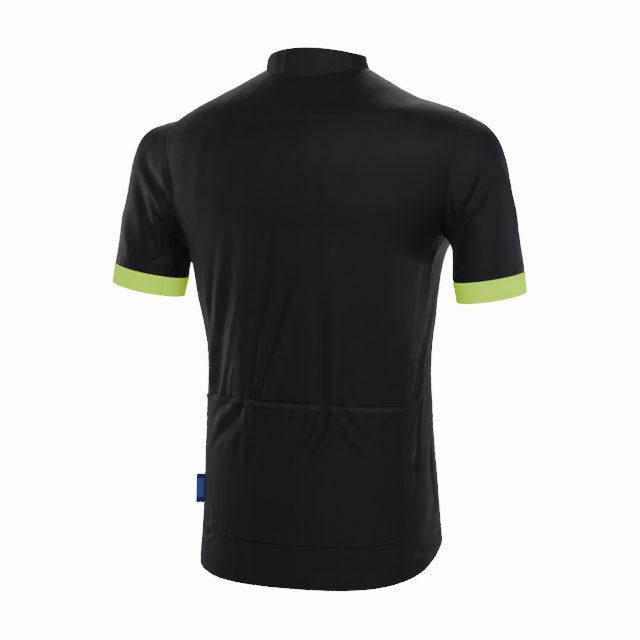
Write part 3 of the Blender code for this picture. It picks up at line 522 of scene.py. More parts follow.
NECK_FADE = (0.664, 0.694)      # levels between which creases die away below the collar
ARMHOLE_BACK = {1: 44.0, -1: 32.0}


@dataclass(frozen=True)
class BodyCloth:
    """The whole body cloth: its form, creases and seams.

    armpit, tip: levels of the armhole's lowest and highest point. reach_front:
    degrees that the armhole reaches round to the front.
    """

    form: RingForm = RingForm(BODY_RINGS)
    armpit: float = 0.428
    tip: float = 0.596
    reach_front: float = 38.0

    @staticmethod
    def armhole_reach(side: int, back: Array) -> Array:
        """Degrees that an armhole reaches round from the side."""
        return np.where(back, ARMHOLE_BACK[side], BodyCloth.reach_front)

    def frame_at(self, angle: Array, level: Array) -> tuple[Array, Array]:
        """The creased cloth.

        Args:
            angle: Places round it, in degrees.
            level: Places up it.

        Returns:
            Its points, and the normals of the even form under them.
        """
        points = self.form.point(angle, level)
        normals = self.form.normal(angle, level)
        rise = sum(crease.relief(points, normals) for crease in BODY_CREASES)
        rise = rise + sum(wave.relief(points) for wave in BODY_WAVES)
        rise = rise * (1.0 - smooth_step(*NECK_FADE, np.asarray(level)))
        return points + normals * rise[..., None], normals

    def armhole_offset(self, side: int, turn: Array) -> Array:
        """Degrees from the side to the armhole's edge; turn is 0 at the armpit, pi at the tip."""
        return self.armhole_reach(side, np.sin(turn) >= 0.0) * np.sin(turn)

    def armhole_level(self, turn: Array) -> Array:
        """Level of the armhole's edge."""
        return (self.armpit + self.tip) / 2 - (self.tip - self.armpit) / 2 * np.cos(turn)

    def armhole(self, side: int, turn: Array) -> tuple[Array, Array]:
        """Points and normals of the armhole's edge."""
        return self.frame_at(side_angle(side, self.armhole_offset(side, turn)), self.armhole_level(turn))

    def edge_offsets(self, column: str, side: int) -> Array:
        """A panel's outer edge.

        Args:
            column: The panel, back or front.
            side: 1 for the wearer's left, -1 for the right.

        Returns:
            Degrees from the side to the edge, for each row of LEVELS.
        """
        sign = 1.0 if column == "back" else -1.0
        join = float(sign * self.armhole_offset(side, np.array(sign * SEAM_TURN)))
        edge = column if column == "front" else SIDE_NAMES[side]
        rows = [(seam.level, getattr(seam, edge)) for seam in SIDE_SEAMS]
        rows.append((LEVELS[JOIN_ROW], join))
        seam_part = smooth_rows(rows, LEVELS[:JOIN_ROW + 1])[0]
        hole_part = np.abs(self.armhole_offset(side, sign * ARMHOLE_TURNS[1:]))
        return np.concatenate([seam_part, hole_part, np.zeros(len(LEVELS) - 1 - TIP_ROW)])


class SideSeam(NamedTuple):
    """Degrees from the side to the left and right back seams and to both front ones, at a level."""

    level: float
    left: float
    right: float
    front: float


SIDE_SEAMS = (
    SideSeam(0.000, 31.0, 31.0, 27.0),
    SideSeam(0.090, 30.5, 30.5, 26.0),
    SideSeam(0.207, 28.0, 27.5, 25.0),
    SideSeam(0.273, 26.5, 20.5, 25.0),
    SideSeam(0.343, 24.0, 17.0, 22.5),
)
SEAM_TURN = math.radians(30.0)      # turn of the armhole at which the side seams meet it
SIDE_TOP = 0.09                     # stretch over which a side panel's rows bend to the armhole
POCKET_BOTTOM, POCKET_TOP, BINDING_TOP = 0.050, 0.199, 0.207
ZIP_OPENING = 0.0080
HEM_DEPTH = 0.020
BACK_WIDTH, FRONT_WIDTH, SIDE_WIDTH, SHOULDER_LENGTH = 0.30, 0.15, 0.13, 0.104


def side_angle(side: int, offset: Array) -> Array:
    """Angle on the body at an offset from a side; positive offsets are to the back."""
    return offset if side > 0 else 180.0 - offset


def row_levels(body: BodyCloth) -> tuple[Array, Array]:
    """Levels of the body's rows.

    Args:
        body: The body cloth.

    Returns:
        The levels, and the armhole's turns among them.
    """
    turns = np.linspace(SEAM_TURN, math.pi, ARMHOLE_ROWS + 1)
    join = float(body.armhole_level(np.array(SEAM_TURN)))
    stretches = (
        np.array(EDGE_STEPS),
        np.linspace(EDGE_STEPS[-1], POCKET_BOTTOM, TAIL_ROWS + 1)[1:],
        np.linspace(POCKET_BOTTOM, POCKET_TOP, POCKET_ROWS + 1)[1:],
        np.linspace(POCKET_TOP, BINDING_TOP, BINDING_ROWS + 1)[1:],
        np.linspace(BINDING_TOP, join, BACK_ROWS + 1)[1:],
        body.armhole_level(turns)[1:],
        body.tip + (BODY_RINGS[-1].level - body.tip) * edge_spaced(SHOULDER_ROWS, SHOULDER_LENGTH)[1:],
    )
    return np.concatenate(stretches), turns


TAIL_ROWS, POCKET_ROWS, BINDING_ROWS, BACK_ROWS, ARMHOLE_ROWS, SHOULDER_ROWS = 16, 42, 4, 62, 46, 24
POCKET_ROW = len(EDGE_STEPS) - 1 + TAIL_ROWS
BINDING_ROW = POCKET_ROW + POCKET_ROWS
JOIN_ROW = BINDING_ROW + BINDING_ROWS + BACK_ROWS
TIP_ROW = JOIN_ROW + ARMHOLE_ROWS
BODY = BodyCloth()
LEVELS, ARMHOLE_TURNS = row_levels(BODY)


# ------------------------ cloth grids and shells
FOLD_STEPS = 4                          # steps round a turned edge
SHARP_ANGLE = math.radians(55.0)        # edges sharper than this aren't shaded smooth


class Edge(Enum):
    """An edge of a grid of points: its first or last column, or its lowest or highest row."""

    FIRST = "first"
    LAST = "last"
    LOW = "low"
    HIGH = "high"
    NONE = "none"


class SeamLine(NamedTuple):
    """A line of points on a surface, with the normals there."""

    points: Array
    normals: Array


@dataclass(frozen=True)
class SewnEdge:
    """How cloth lies beside a seam: rolled in at it, then a soft swell, with small puckers."""

    roll: float = 0.00018
    roll_width: float = 0.0009
    swell: float = 0.00010
    swell_place: float = 0.0042
    swell_width: float = 0.0026
    pucker: float = 0.00028
    pucker_place: float = 0.0055
    pucker_pitch: float = 0.0118
    drift: float = 0.067
    group: float = 0.093

    def relief(self, away: Array, along: Array) -> Array:
        """Height of the cloth.

        Args:
            away: Distance from the seam.
            along: Distance along it.

        Returns:
            The height at each point.
        """
        wave = uneven_wave(along, self.pucker_pitch, 1.9, self.drift)
        wave *= 0.6 + 0.4 * np.sin(math.tau * along / self.group + 1.0)
        rolled = self.swell * bell(away, self.swell_place, self.swell_width)
        rolled -= self.roll * bell(away, 0.0, self.roll_width)
        share = away / self.pucker_place
        return rolled + self.pucker * wave * share * np.exp(1.0 - share)


@dataclass
class ClothGrid:
    """Points of a cloth's outer face, row by row.

    closed says that each row runs on from its last point to its first. sign is -1
    where columns and rows run the other way round, so that normals point outwards.
    """

    points: Array
    closed: bool = False
    sign: int = 1

    def normals(self) -> Array:
        """Outward normals.

        Returns:
            The normal at each of the grid's points.
        """
        if self.closed:
            along = np.roll(self.points, -1, axis=1) - np.roll(self.points, 1, axis=1)
        else:
            along = np.gradient(self.points, axis=1)
        return unit(np.cross(along, np.gradient(self.points, axis=0))) * self.sign

    def run(self, axis: int) -> Array:
        """Distance along the grid's lines.

        Args:
            axis: 1 along the rows, 0 along the columns.

        Returns:
            How far each point is from its line's start.
        """
        steps = np.linalg.norm(np.diff(self.points, axis=axis), axis=-1)
        pad = [(0, 0), (0, 0)]
        pad[axis] = (1, 0)
        return np.cumsum(np.pad(steps, pad), axis=axis)

    def distance(self, edge: Edge) -> Array:
        """Distance from an edge.

        Args:
            edge: The edge.

        Returns:
            The distance of each point.
        """
        run = self.run(1 if edge in (Edge.FIRST, Edge.LAST) else 0)
        if edge is Edge.LAST:
            return run[:, -1:] - run
        if edge is Edge.HIGH:
            return run[-1:] - run
        return run

    def raise_by(self, rise: Array) -> None:
        """Moves the points out along their normals."""
        self.points = self.points + self.normals() * rise[..., None]

    def sew(self, edges: Iterable[Edge], seam: SewnEdge = SewnEdge()) -> None:
        """Shapes the cloth at its sewn edges.

        Args:
            edges: The edges that are sewn.
            seam: How the cloth lies beside them.
        """
        rise = np.zeros(self.points.shape[:2])
        for edge in edges:
            rise += seam.relief(self.distance(edge), self.run(0 if edge in (Edge.FIRST, Edge.LAST) else 1))
        self.raise_by(rise)

    def line(self, edge: Edge, away: float, low: int = 0, high: int | None = None) -> SeamLine:
        """A line beside an edge.

        Args:
            edge: The edge that the line follows.
            away: Its distance from the edge.
            low: The first row or column that it crosses.
            high: The row or column that it stops before.

        Returns:
            The line on the grid's surface.
        """
        distance = self.distance(edge)
        points, normals = self.points, self.normals()
        if edge in (Edge.LOW, Edge.HIGH):
            distance, points, normals = distance.T, points.swapaxes(0, 1), normals.swapaxes(0, 1)
        if edge in (Edge.LAST, Edge.HIGH):
            distance, points, normals = distance[:, ::-1], points[:, ::-1], normals[:, ::-1]
        rows = range(len(points))[low:high]
        place = [[np.interp(away, distance[row], source[row, :, axis]) for axis in range(3)]
                 for source in (points, normals) for row in rows]
        half = len(place) // 2
        return SeamLine(np.array(place[:half]), unit(np.array(place[half:])))

    def column(self, share: float, low: int = 0, high: int | None = None) -> SeamLine:
        """A line up the grid.

        Args:
            share: Its place, as a share of the grid's width.
            low: The first row that it crosses.
            high: The row that it stops before.

        Returns:
            The line on the grid's surface.
        """
        index = int(round(share * (self.points.shape[1] - 1)))
        return SeamLine(self.points[low:high, index], self.normals()[low:high, index])

    def shell(self, name: str, thickness: float | Array, look: Look, fold: Edge = Edge.NONE) -> Piece:
        """The cloth as a thin closed shell, with a round turned edge where it is folded.

        Args:
            name: The piece's name.
            thickness: The cloth's thickness, everywhere or at each point.
            look: Its material.
            fold: The edge that is turned over, if any.

        Returns:
            The piece.
        """
        outer, normals = self.points, self.normals()
        thick = np.broadcast_to(np.asarray(thickness, dtype=float), outer.shape[:2])[..., None]
        inner = outer - normals * thick
        across, up = self.run(1), self.run(0)
        if self.closed:
            gap = np.linalg.norm(outer[:, :1] - outer[:, -1:], axis=-1)
            across = np.concatenate([across, across[:, -1:] + gap], axis=1)
            up = np.concatenate([up, up[:, :1]], axis=1)
        across = across - across[:, across.shape[1] // 2][:, None]
        plan = np.stack([across, up], axis=-1)
        if fold is Edge.LOW:
            outer, inner, normals, thick, plan = (rows[::-1] for rows in (outer, inner, normals, thick, plan))
        turned = []
        if fold is not Edge.NONE:
            middle = (outer[-1] + inner[-1]) / 2
            beyond = unit(outer[-1] - outer[-3])
            for step in range(1, FOLD_STEPS + 1):
                bend = math.pi * step / (FOLD_STEPS + 1)
                turned.append(middle + (normals[-1] * math.cos(bend) + beyond * math.sin(bend))
                              * thick[-1] / 2)
        rows = np.concatenate([outer, np.array(turned).reshape(-1, *outer.shape[1:]), inner[::-1]])
        plans = np.concatenate([plan, np.repeat(plan[-1:], len(turned), axis=0), plan[::-1]])
        return closed_loops(name, rows, plans, self.closed, look)


def closed_loops(name: str, rows: Array, plans: Array, closed: bool, look: Look) -> Piece:
    """A mesh whose columns are closed loops of points, capped at both ends unless it is closed.

    Args:
        name: The piece's name.
        rows: Points, one row of the grid after the other, round the loops.
        plans: The flat place of each point, in metres, for patterns.
        closed: Whether the rows close too.
        look: Its material.

    Returns:
        The piece.
    """
    count, width = rows.shape[:2]
    index = np.arange(count * width).reshape(count, width)
    step = np.arange(plans.shape[0] * plans.shape[1]).reshape(plans.shape[:2])
    if closed:
        index = np.concatenate([index, index[:, :1]], axis=1)
    below = np.roll(index, -1, axis=0)
    step_below = np.roll(step, -1, axis=0)

    def cells(upper: Array, lower: Array) -> Array:
        """Four-cornered cells between rows of corners."""
        return np.stack([upper[:, :-1], upper[:, 1:], lower[:, 1:], lower[:, :-1]], axis=-1).reshape(-1, 4)

    faces, corners = [cells(index, below)], [cells(step, step_below)]
    if not closed:
        pairs = np.arange(count // 2 - 1)
        for column, flip in ((0, False), (width - 1, True)):
            cap = np.stack([index[pairs, column], index[pairs + 1, column],
                            index[count - 2 - pairs, column], index[count - 1 - pairs, column]], axis=-1)
            faces.append(cap[:, ::-1] if flip else cap)
            corners.append(faces[-1])
    quads = np.concatenate(faces)
    points = rows.reshape(-1, 3)
    first, second, third, fourth = (points[quads[:, corner]] for corner in range(4))
    volume = np.einsum("ij,ij->i", first, np.cross(second, third) + np.cross(third, fourth)).sum()
    uv = plans.reshape(-1, 2)[np.concatenate(corners)]
    if volume < 0.0:
        quads, uv = quads[:, ::-1], uv[:, ::-1]
    return mesh_object(name, points, quads, uv.reshape(-1, 2), look)


def add_object(name: str, data: bpy.types.ID) -> Piece:
    """Puts a new object in the scene.

    Args:
        name: Its name.
        data: Its mesh, camera or light.

    Returns:
        The object.
    """
    made = bpy.data.objects.new(name, data)
    bpy.context.scene.collection.objects.link(made)
    return made


def mesh_object(name: str, points: Array, faces: Array, uv: Array | None, look: Look) -> Piece:
    """A smooth-shaded object from arrays.

    Args:
        name: Its name.
        points: Its points.
        faces: Its faces, all with the same number of corners.
        uv: The flat place of each corner, if it has a pattern.
        look: Its material.

    Returns:
        The object.
    """
    mesh = bpy.data.meshes.new(name)
    mesh.vertices.add(len(points))
    mesh.vertices.foreach_set("co", np.ascontiguousarray(points, dtype=np.float32).ravel())
    corners = faces.shape[1]
    mesh.loops.add(faces.size)
    mesh.loops.foreach_set("vertex_index", np.ascontiguousarray(faces, dtype=np.int32).ravel())
    mesh.polygons.add(len(faces))
    mesh.polygons.foreach_set("loop_start", np.arange(0, faces.size, corners, dtype=np.int32))
    mesh.update(calc_edges=True)
    if uv is not None:
        mesh.uv_layers.new(name=UV_MAP).data.foreach_set("uv", np.ascontiguousarray(uv, np.float32).ravel())
    mesh.validate()
    mesh.shade_smooth()
    mesh.set_sharp_from_angle(angle=SHARP_ANGLE)
    mesh.materials.append(look)
    return add_object(name, mesh)


def dress(piece: Piece, slot: str, *nodes: str, body: str = "jersey") -> None:
    """Puts a piece on its body, in place of its nodes, and reports it.

    Args:
        piece: The piece.
        slot: Its material slot.
        nodes: The nodes that it replaces, if any.
        body: The body that it rides on.
    """
    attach(piece, body)
    if nodes:
        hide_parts(*nodes)
    faces = sum(len(face.vertices) - 2 for face in piece.data.polygons)
    log.info("%s: %d triangles, slot %s", piece.name, faces, slot)


# ------------------------ finishes
@dataclass
class Graph:
    """A node tree, with short ways to add nodes to it."""

    tree: bpy.types.NodeTree

    def node(self, kind: str, inputs: dict | None = None, **settings: object) -> bpy.types.Node:
        """Adds a node.

        Args:
            kind: The node's type, without the word ShaderNode.
            inputs: Values or sockets for its inputs, by name or number.
            settings: Values for the node's own settings.

        Returns:
            The node.
        """
        node = self.tree.nodes.new("ShaderNode" + kind)
        for key, value in settings.items():
            setattr(node, key, value)
        for key, value in (inputs or {}).items():
            if isinstance(value, Socket):
                self.link(value, node.inputs[key])
            else:
                node.inputs[key].default_value = value
        return node

    def link(self, source: Socket, target: Socket) -> None:
        """Joins an output to an input."""
        self.tree.links.new(source, target)

    def math(self, operation: str, first: object, second: object = 0.0, third: object = 0.0) -> Socket:
        """The result of a Math node."""
        return self.node("Math", {0: first, 1: second, 2: third}, operation=operation).outputs[0]

    def blend(self, factor: object, first: object, second: object) -> Socket:
        """Two colours mixed."""
        return self.node("Mix", {0: factor, 6: first, 7: second}, data_type="RGBA").outputs[2]


def new_group(name: str, inputs: dict[str, float | None], outputs: Sequence[str]) -> tuple[Graph, dict, dict]:
    """Starts a shader node group.

    Args:
        name: The group's name.
        inputs: Default of each input; None for a vector.
        outputs: Names of its value outputs.

    Returns:
        Its graph, its input sockets and its output sockets, by name.
    """
    tree = bpy.data.node_groups.new(name, "ShaderNodeTree")
    for key, value in inputs.items():
        kind = "NodeSocketVector" if value is None else "NodeSocketFloat"
        socket = tree.interface.new_socket(name=key, in_out="INPUT", socket_type=kind)
        if value is not None:
            socket.default_value = value
    for key in outputs:
        tree.interface.new_socket(name=key, in_out="OUTPUT", socket_type="NodeSocketFloat")
    source = tree.nodes.new("NodeGroupInput").outputs
    target = tree.nodes.new("NodeGroupOutput").inputs
    return Graph(tree), {key: source[key] for key in inputs}, {key: target[key] for key in outputs}


def fill(node: bpy.types.Node, values: dict[str, object]) -> None:
    """Sets inputs of a node that are the same all over the surface."""
    for key, value in values.items():
        node.inputs[key].default_value = value


def opaque(colour: Sequence[float]) -> tuple[float, ...]:
    """A colour with full cover."""
    return (*colour, 1.0)


def start_material(name: str, colour: Sequence[float]) -> tuple[Look, Graph, bpy.types.Node]:
    """Starts a material.

    Args:
        name: Its name.
        colour: Its colour in plain views.

    Returns:
        The material, its graph and its shader.
    """
    material = bpy.data.materials.new(name)
    material.use_nodes = True
    material.diffuse_color = opaque(colour)
    return material, Graph(material.node_tree), material.node_tree.nodes["Principled BSDF"]


def yarn_tone(graph: Graph, patch: float = 9.0, fleck: float = 900.0) -> bpy.types.Node:
    """Uneven tone on a piece's own coordinates.

    Args:
        graph: The material's graph.
        patch: Scale of the broad patches.
        fleck: Scale of the fine specks.

    Returns:
        The placed node group.
    """
    place = graph.node("TexCoord").outputs["Object"]
    return graph.node("Group", {"Vector": place, "Patch": patch, "Fleck": fleck},
                      node_tree=bpy.data.node_groups["yarn_tone"])


def knit_group() -> None:
    """Plain knit: columns of small slanting loops, Wale wide and Course high."""
    graph, given, wanted = new_group("knit_loops", {"Vector": None, "Wale": 0.0009, "Course": 0.0008},
                                     ("Height",))
    place = graph.node("SeparateXYZ", {0: given["Vector"]})
    half = graph.math("DIVIDE", graph.math("MULTIPLY", place.outputs[0], 2.0), given["Wale"])
    leg = graph.math("FRACT", half)
    other = graph.math("GREATER_THAN", graph.math("FRACT", graph.math("MULTIPLY", half, 0.5)), 0.5)
    slant = graph.math("ABSOLUTE", graph.math("SUBTRACT", leg, other))
    row = graph.math("DIVIDE", place.outputs[1], given["Course"])
    wave = graph.math("SINE", graph.math("MULTIPLY", graph.math("MULTIPLY_ADD", slant, 0.7, row), math.tau))
    round_leg = graph.math("SINE", graph.math("MULTIPLY", leg, math.pi))
    height = graph.math("MULTIPLY", round_leg, graph.math("MULTIPLY_ADD", wave, 0.3, 0.7))
    graph.link(height, wanted["Height"])


def mesh_group() -> None:
    """Open mesh knit: rows of small round holes, every other row set over by half."""
    graph, given, wanted = new_group("mesh_holes", {"Vector": None, "Pitch": 0.0020}, ("Height", "Hole"))
    place = graph.node("SeparateXYZ", {0: given["Vector"]})
    waves = []
    for output in (0, 1):
        turn = graph.math("MULTIPLY", graph.math("DIVIDE", place.outputs[output], given["Pitch"]), math.tau)
        waves.append(graph.math("COSINE", turn))
    product = graph.math("MULTIPLY", waves[0], waves[1])
    hole = graph.node("MapRange", {0: product, 1: 0.35, 2: 0.75}, interpolation_type="SMOOTHSTEP").outputs[0]
    graph.link(hole, wanted["Hole"])
    # painted shade: a hole's low height gives it the finish's darker colour
    graph.link(graph.math("SUBTRACT", 1.0, hole), wanted["Height"])


def twill_group() -> None:
    """Slanting ribs of a woven tape, Rib apart."""
    graph, given, wanted = new_group("twill_ribs", {"Vector": None, "Rib": 0.0007}, ("Height",))
    place = graph.node("SeparateXYZ", {0: given["Vector"]})
    slant = graph.math("MULTIPLY_ADD", place.outputs[0], 0.6, place.outputs[1])
    turn = graph.math("MULTIPLY", graph.math("DIVIDE", slant, given["Rib"]), math.tau)
    height = graph.math("MULTIPLY_ADD", graph.math("SINE", turn), 0.5, 0.5)
    graph.link(height, wanted["Height"])


def tone_group() -> None:
    """Uneven tone of dyed yarn: broad patches and fine specks, both about 0 to 1."""
    graph, given, wanted = new_group("yarn_tone", {"Vector": None, "Patch": 9.0, "Fleck": 900.0},
                                     ("Patches", "Flecks"))
    for scale, output, detail in (("Patch", "Patches", 3.0), ("Fleck", "Flecks", 1.0)):
        noise = graph.node("TexNoise", {"Vector": given["Vector"], "Scale": given[scale], "Detail": detail})
        graph.link(noise.outputs[0], wanted[output])


class Weave(Enum):
    """The small pattern of a finish."""

    KNIT = "knit_loops"
    MESH = "mesh_holes"
    TWILL = "twill_ribs"


BLACK, WHITE = (0.0, 0.0, 0.0, 1.0), (1.0, 1.0, 1.0, 1.0)
LABEL_EDGE = (0.006, 0.010, 0.060)
BORDER_BLUR = 0.0004
HOLLOW_SHADE_SHARE = (-0.55, 0.60)    # painted shade: how much of the darker colour shows in the weave's low parts and a mesh's holes, its change with height, and at none
GLOSS_SPREAD = 0.16             # how far the roughness varies over the cloth
FUZZ = 0.35                     # height of loose fibres, beside that of the weave


@dataclass(frozen=True)
class ClothFinish:
    """A cloth's colours, weave and nap.

    colour is its face; hollow is a darker colour, used for its darker patches and
    as painted shade between its yarns, in the weave's low parts and a mesh's holes.
    pattern holds the weave group's sizes. relief is the weave's depth in metres.
    sheen is the nap's strength. border is half the breadth between a ribbon's darker
    sides. glow is painted light: the fluorescent cloth shines of itself to the
    camera only, though it is no lamp.
    """

    name: str
    colour: Triple
    dark_tone_and_hollow_shade: Triple
    weave: Weave
    pattern: tuple[tuple[str, float], ...]
    relief: float
    roughness: float = 0.6
    sheen: float = 0.06
    sheen_roughness: float = 0.35
    sheen_tint: Triple = (0.75, 0.78, 0.9)
    specular: float = 0.16
    patches: float = 0.16
    border: float = 0.0
    painted_glow: float = 0.0

    def build(self) -> Look:
        """Makes the finish.

        Returns:
            Its material.
        """
        material, graph, shader = start_material(self.name, self.colour)
        flat = graph.node("UVMap", uv_map=UV_MAP).outputs[0]
        weave = graph.node("Group", {"Vector": flat, **dict(self.pattern)},
                           node_tree=bpy.data.node_groups[self.weave.value])
        tone = yarn_tone(graph)
        height = weave.outputs["Height"]
        dark_tone_and_hollow_shade = opaque(self.dark_tone_and_hollow_shade)
        face = graph.blend(graph.math("MULTIPLY", tone.outputs["Patches"], self.patches * 2.0),
                           opaque(self.colour), dark_tone_and_hollow_shade)
        if self.border:
            face = self.bordered(graph, flat, face)
        # painted shade: the darker colour fills the weave's low parts and a mesh's holes
        colour = graph.blend(graph.math("MULTIPLY_ADD", height, *HOLLOW_SHADE_SHARE), face, dark_tone_and_hollow_shade)
        rough = graph.math("MULTIPLY_ADD", tone.outputs["Patches"], GLOSS_SPREAD,
                           self.roughness - GLOSS_SPREAD / 2)
        fuzz = graph.math("MULTIPLY_ADD", tone.outputs["Flecks"], FUZZ, height)
        bump = graph.node("Bump", {"Strength": 0.8, "Distance": self.relief, "Height": fuzz})
        graph.link(colour, shader.inputs["Base Color"])
        graph.link(rough, shader.inputs["Roughness"])
        graph.link(bump.outputs[0], shader.inputs["Normal"])
        fill(shader, {"Sheen Weight": self.sheen, "Sheen Roughness": self.sheen_roughness,
                      "Sheen Tint": opaque(self.sheen_tint), "Specular IOR Level": self.specular})
        # painted light: the fluorescent cloth shines of itself to camera rays only, though it is no lamp
        if self.painted_glow:
            seen = graph.blend(graph.node("LightPath").outputs["Is Camera Ray"], BLACK, colour)
            graph.link(seen, shader.inputs["Emission Color"])
            fill(shader, {"Emission Strength": self.painted_glow})
        return material

    def bordered(self, graph: Graph, flat: Socket, face: object) -> Socket:
        """The face colour, darker along the two sides of a ribbon.

        Args:
            graph: The material's graph.
            flat: The flat place.
            face: The face colour.

        Returns:
            The bordered colour.
        """
        across = graph.math("ABSOLUTE", graph.node("SeparateXYZ", {0: flat}).outputs[0])
        edge = graph.node("MapRange", {0: across, 1: self.border - BORDER_BLUR, 2: self.border + BORDER_BLUR})
        return graph.blend(edge.outputs[0], face, opaque(LABEL_EDGE))


@dataclass(frozen=True)
class PlainFinish:
    """Thread, moulded nylon or lacquered metal, with uneven gloss and tone.

    shade is how dark its darker patches are. patch and grain are the scales of its
    patches and specks.
    """

    name: str
    colour: Triple
    roughness: float
    metallic: float = 0.0
    coat: float = 0.0
    sheen: float = 0.0
    shade: float = 0.72
    patch: float = 260.0
    grain: float = 2600.0
    relief: float = 0.00004

    def build(self) -> Look:
        """Makes the finish.

        Returns:
            Its material.
        """
        material, graph, shader = start_material(self.name, self.colour)
        tone = yarn_tone(graph, self.patch, self.grain)
        flecks = tone.outputs["Flecks"]
        darker = tuple(self.shade * part for part in self.colour)
        colour = graph.blend(tone.outputs["Patches"], opaque(self.colour), opaque(darker))
        rough = graph.math("MULTIPLY_ADD", flecks, 0.2, self.roughness - 0.1)
        bump = graph.node("Bump", {"Strength": 0.5, "Distance": self.relief, "Height": flecks})
        graph.link(colour, shader.inputs["Base Color"])
        graph.link(rough, shader.inputs["Roughness"])
        graph.link(bump.outputs[0], shader.inputs["Normal"])
        fill(shader, {"Metallic": self.metallic, "Coat Weight": self.coat, "Sheen Weight": self.sheen})
        return material


KNIT_SIZES = (("Wale", 0.0011), ("Course", 0.0009))
FINISHES = (
    ClothFinish("black_knit", (0.0106, 0.0102, 0.0124), (0.0040, 0.0040, 0.0050), Weave.KNIT,
                KNIT_SIZES, 0.00012),
    ClothFinish("collar_knit", (0.0105, 0.0100, 0.0130), (0.0040, 0.0040, 0.0052), Weave.KNIT,
                (("Wale", 0.0013), ("Course", 0.0009)), 0.00016),
    ClothFinish("side_mesh", (0.0100, 0.0100, 0.0112), (0.0030, 0.0030, 0.0036), Weave.MESH,
                (("Pitch", 0.0022),), 0.00020, roughness=0.36, sheen=0.02, specular=0.24),
    # the cuffs' knit, with a painted glow that only the camera sees
    ClothFinish("fluorescent_knit", (0.54, 1.00, 0.0), (0.40, 0.76, 0.0), Weave.KNIT,
                KNIT_SIZES, 0.00012, roughness=0.7, sheen=0.0, specular=0.05,
                patches=0.05, painted_glow=0.38),
    ClothFinish("binding_knit", (0.0190, 0.0185, 0.0215), (0.0040, 0.0040, 0.0052),
                Weave.KNIT, (("Wale", 0.0008), ("Course", 0.0008)), 0.00010),
    ClothFinish("label_ribbon", (0.046, 0.072, 0.340), (0.018, 0.028, 0.150), Weave.TWILL,
                (("Rib", 0.0005),), 0.00006, roughness=0.42, sheen=0.1, patches=0.05,
                border=0.0130),
    ClothFinish("zip_tape", (0.0110, 0.0110, 0.0125), (0.0040, 0.0040, 0.0046), Weave.TWILL,
                (("Rib", 0.0009),), 0.00012, roughness=0.55, sheen=0.1),
    PlainFinish("black_thread", (0.0080, 0.0078, 0.0092), 0.85),
    PlainFinish("lime_thread", (0.55, 0.78, 0.06), 0.5, sheen=0.1),
    PlainFinish("coil_nylon", (0.012, 0.012, 0.013), 0.36, coat=0.1),
    PlainFinish("slider_lacquer", (0.055, 0.055, 0.060), 0.34, metallic=0.85, coat=0.25),
)


def build_finishes() -> dict[str, Look]:
    """Makes all of the jersey's materials.

    Returns:
        The materials, by name.
    """
    for group in (knit_group, mesh_group, twill_group, tone_group):
        group()
    return {finish.name: finish.build() for finish in FINISHES}


# ------------------------ sewing
def grain(length: float, width: float, height: float) -> tuple[Array, Array]:
    """A long rounded grain, modelled once to be copied as a stitch or a zip tooth.

    Args:
        length: Its length.
        width: Its width.
        height: Its height.

    Returns:
        Its points and triangles.
    """
    bpy.ops.object.select_all(action="DESELECT")
    bpy.ops.mesh.primitive_uv_sphere_add(segments=6, ring_count=4, radius=0.5, rotation=(0, math.pi / 2, 0))
    bpy.ops.object.transform_apply(location=False, rotation=True, scale=True)
    start = bpy.context.object
    start.data.calc_loop_triangles()
    points = np.array([corner.co[:] for corner in start.data.vertices])
    points[:, 0] = np.sign(points[:, 0]) * np.abs(2.0 * points[:, 0]) ** 0.8 / 2.0
    faces = np.array([face.vertices[:] for face in start.data.loop_triangles])
    bpy.data.meshes.remove(start.data)
    return points * np.array((length, width, height)), faces


def copies(name: str, shape: tuple[Array, Array], places: Array, axes: Array, look: Look) -> Piece:
    """One piece of many copies of a shape.

    Args:
        name: The piece's name.
        shape: Points and triangles of the shape.
        places: Where each copy sits.
        axes: The three axes of each copy, as rows.
        look: Its material.

    Returns:
        The piece.
    """
    points, faces = shape
    moved = np.einsum("pa,nab->npb", points, axes) + places[:, None]
    shift = np.arange(len(places))[:, None, None] * len(points)
    return mesh_object(name, moved.reshape(-1, 3), (faces[None] + shift).reshape(-1, 3), None, look)


@dataclass(frozen=True)
class Sewing:
    """Stitches of one thread along seam lines.

    uneven is how much they vary. proud is how far their middle stands out of the
    cloth, as a share of their thickness.
    """

    pitch: float = 0.0029
    length: float = 0.0021
    thick: float = 0.00036
    uneven: float = 0.05
    proud: float = 0.12

    def sew(self, name: str, lines: Sequence[SeamLine], look: Look) -> Piece:
        """Lays stitches along seams.

        Args:
            name: The piece's name.
            lines: The lines that the stitches follow.
            look: The thread's material.

        Returns:
            All of the stitches, as one piece.
        """
        draw = np.random.default_rng(len(name))
        places, axes = [], []
        for line in lines:
            run = run_along(line.points)
            spots = np.arange(self.pitch / 2, run[-1], self.pitch)
            at = rows_at(spots, run, line.points)
            out = unit(rows_at(spots, run, line.normals))
            ahead = unit(np.gradient(at, axis=0)) if len(spots) > 1 else at * 0.0
            ahead = unit(ahead + draw.normal(0.0, self.uneven, ahead.shape))
            aside = unit(np.cross(out, ahead))
            size = 1.0 + draw.normal(0.0, self.uneven, (len(at), 1))
            places.append(at + out * self.thick * self.proud)
            axes.append(np.stack([ahead * size, aside, np.cross(ahead, aside)], axis=1))
        shape = grain(self.length, self.thick, self.thick)
        return copies(name, shape, np.concatenate(places), np.concatenate(axes), look)


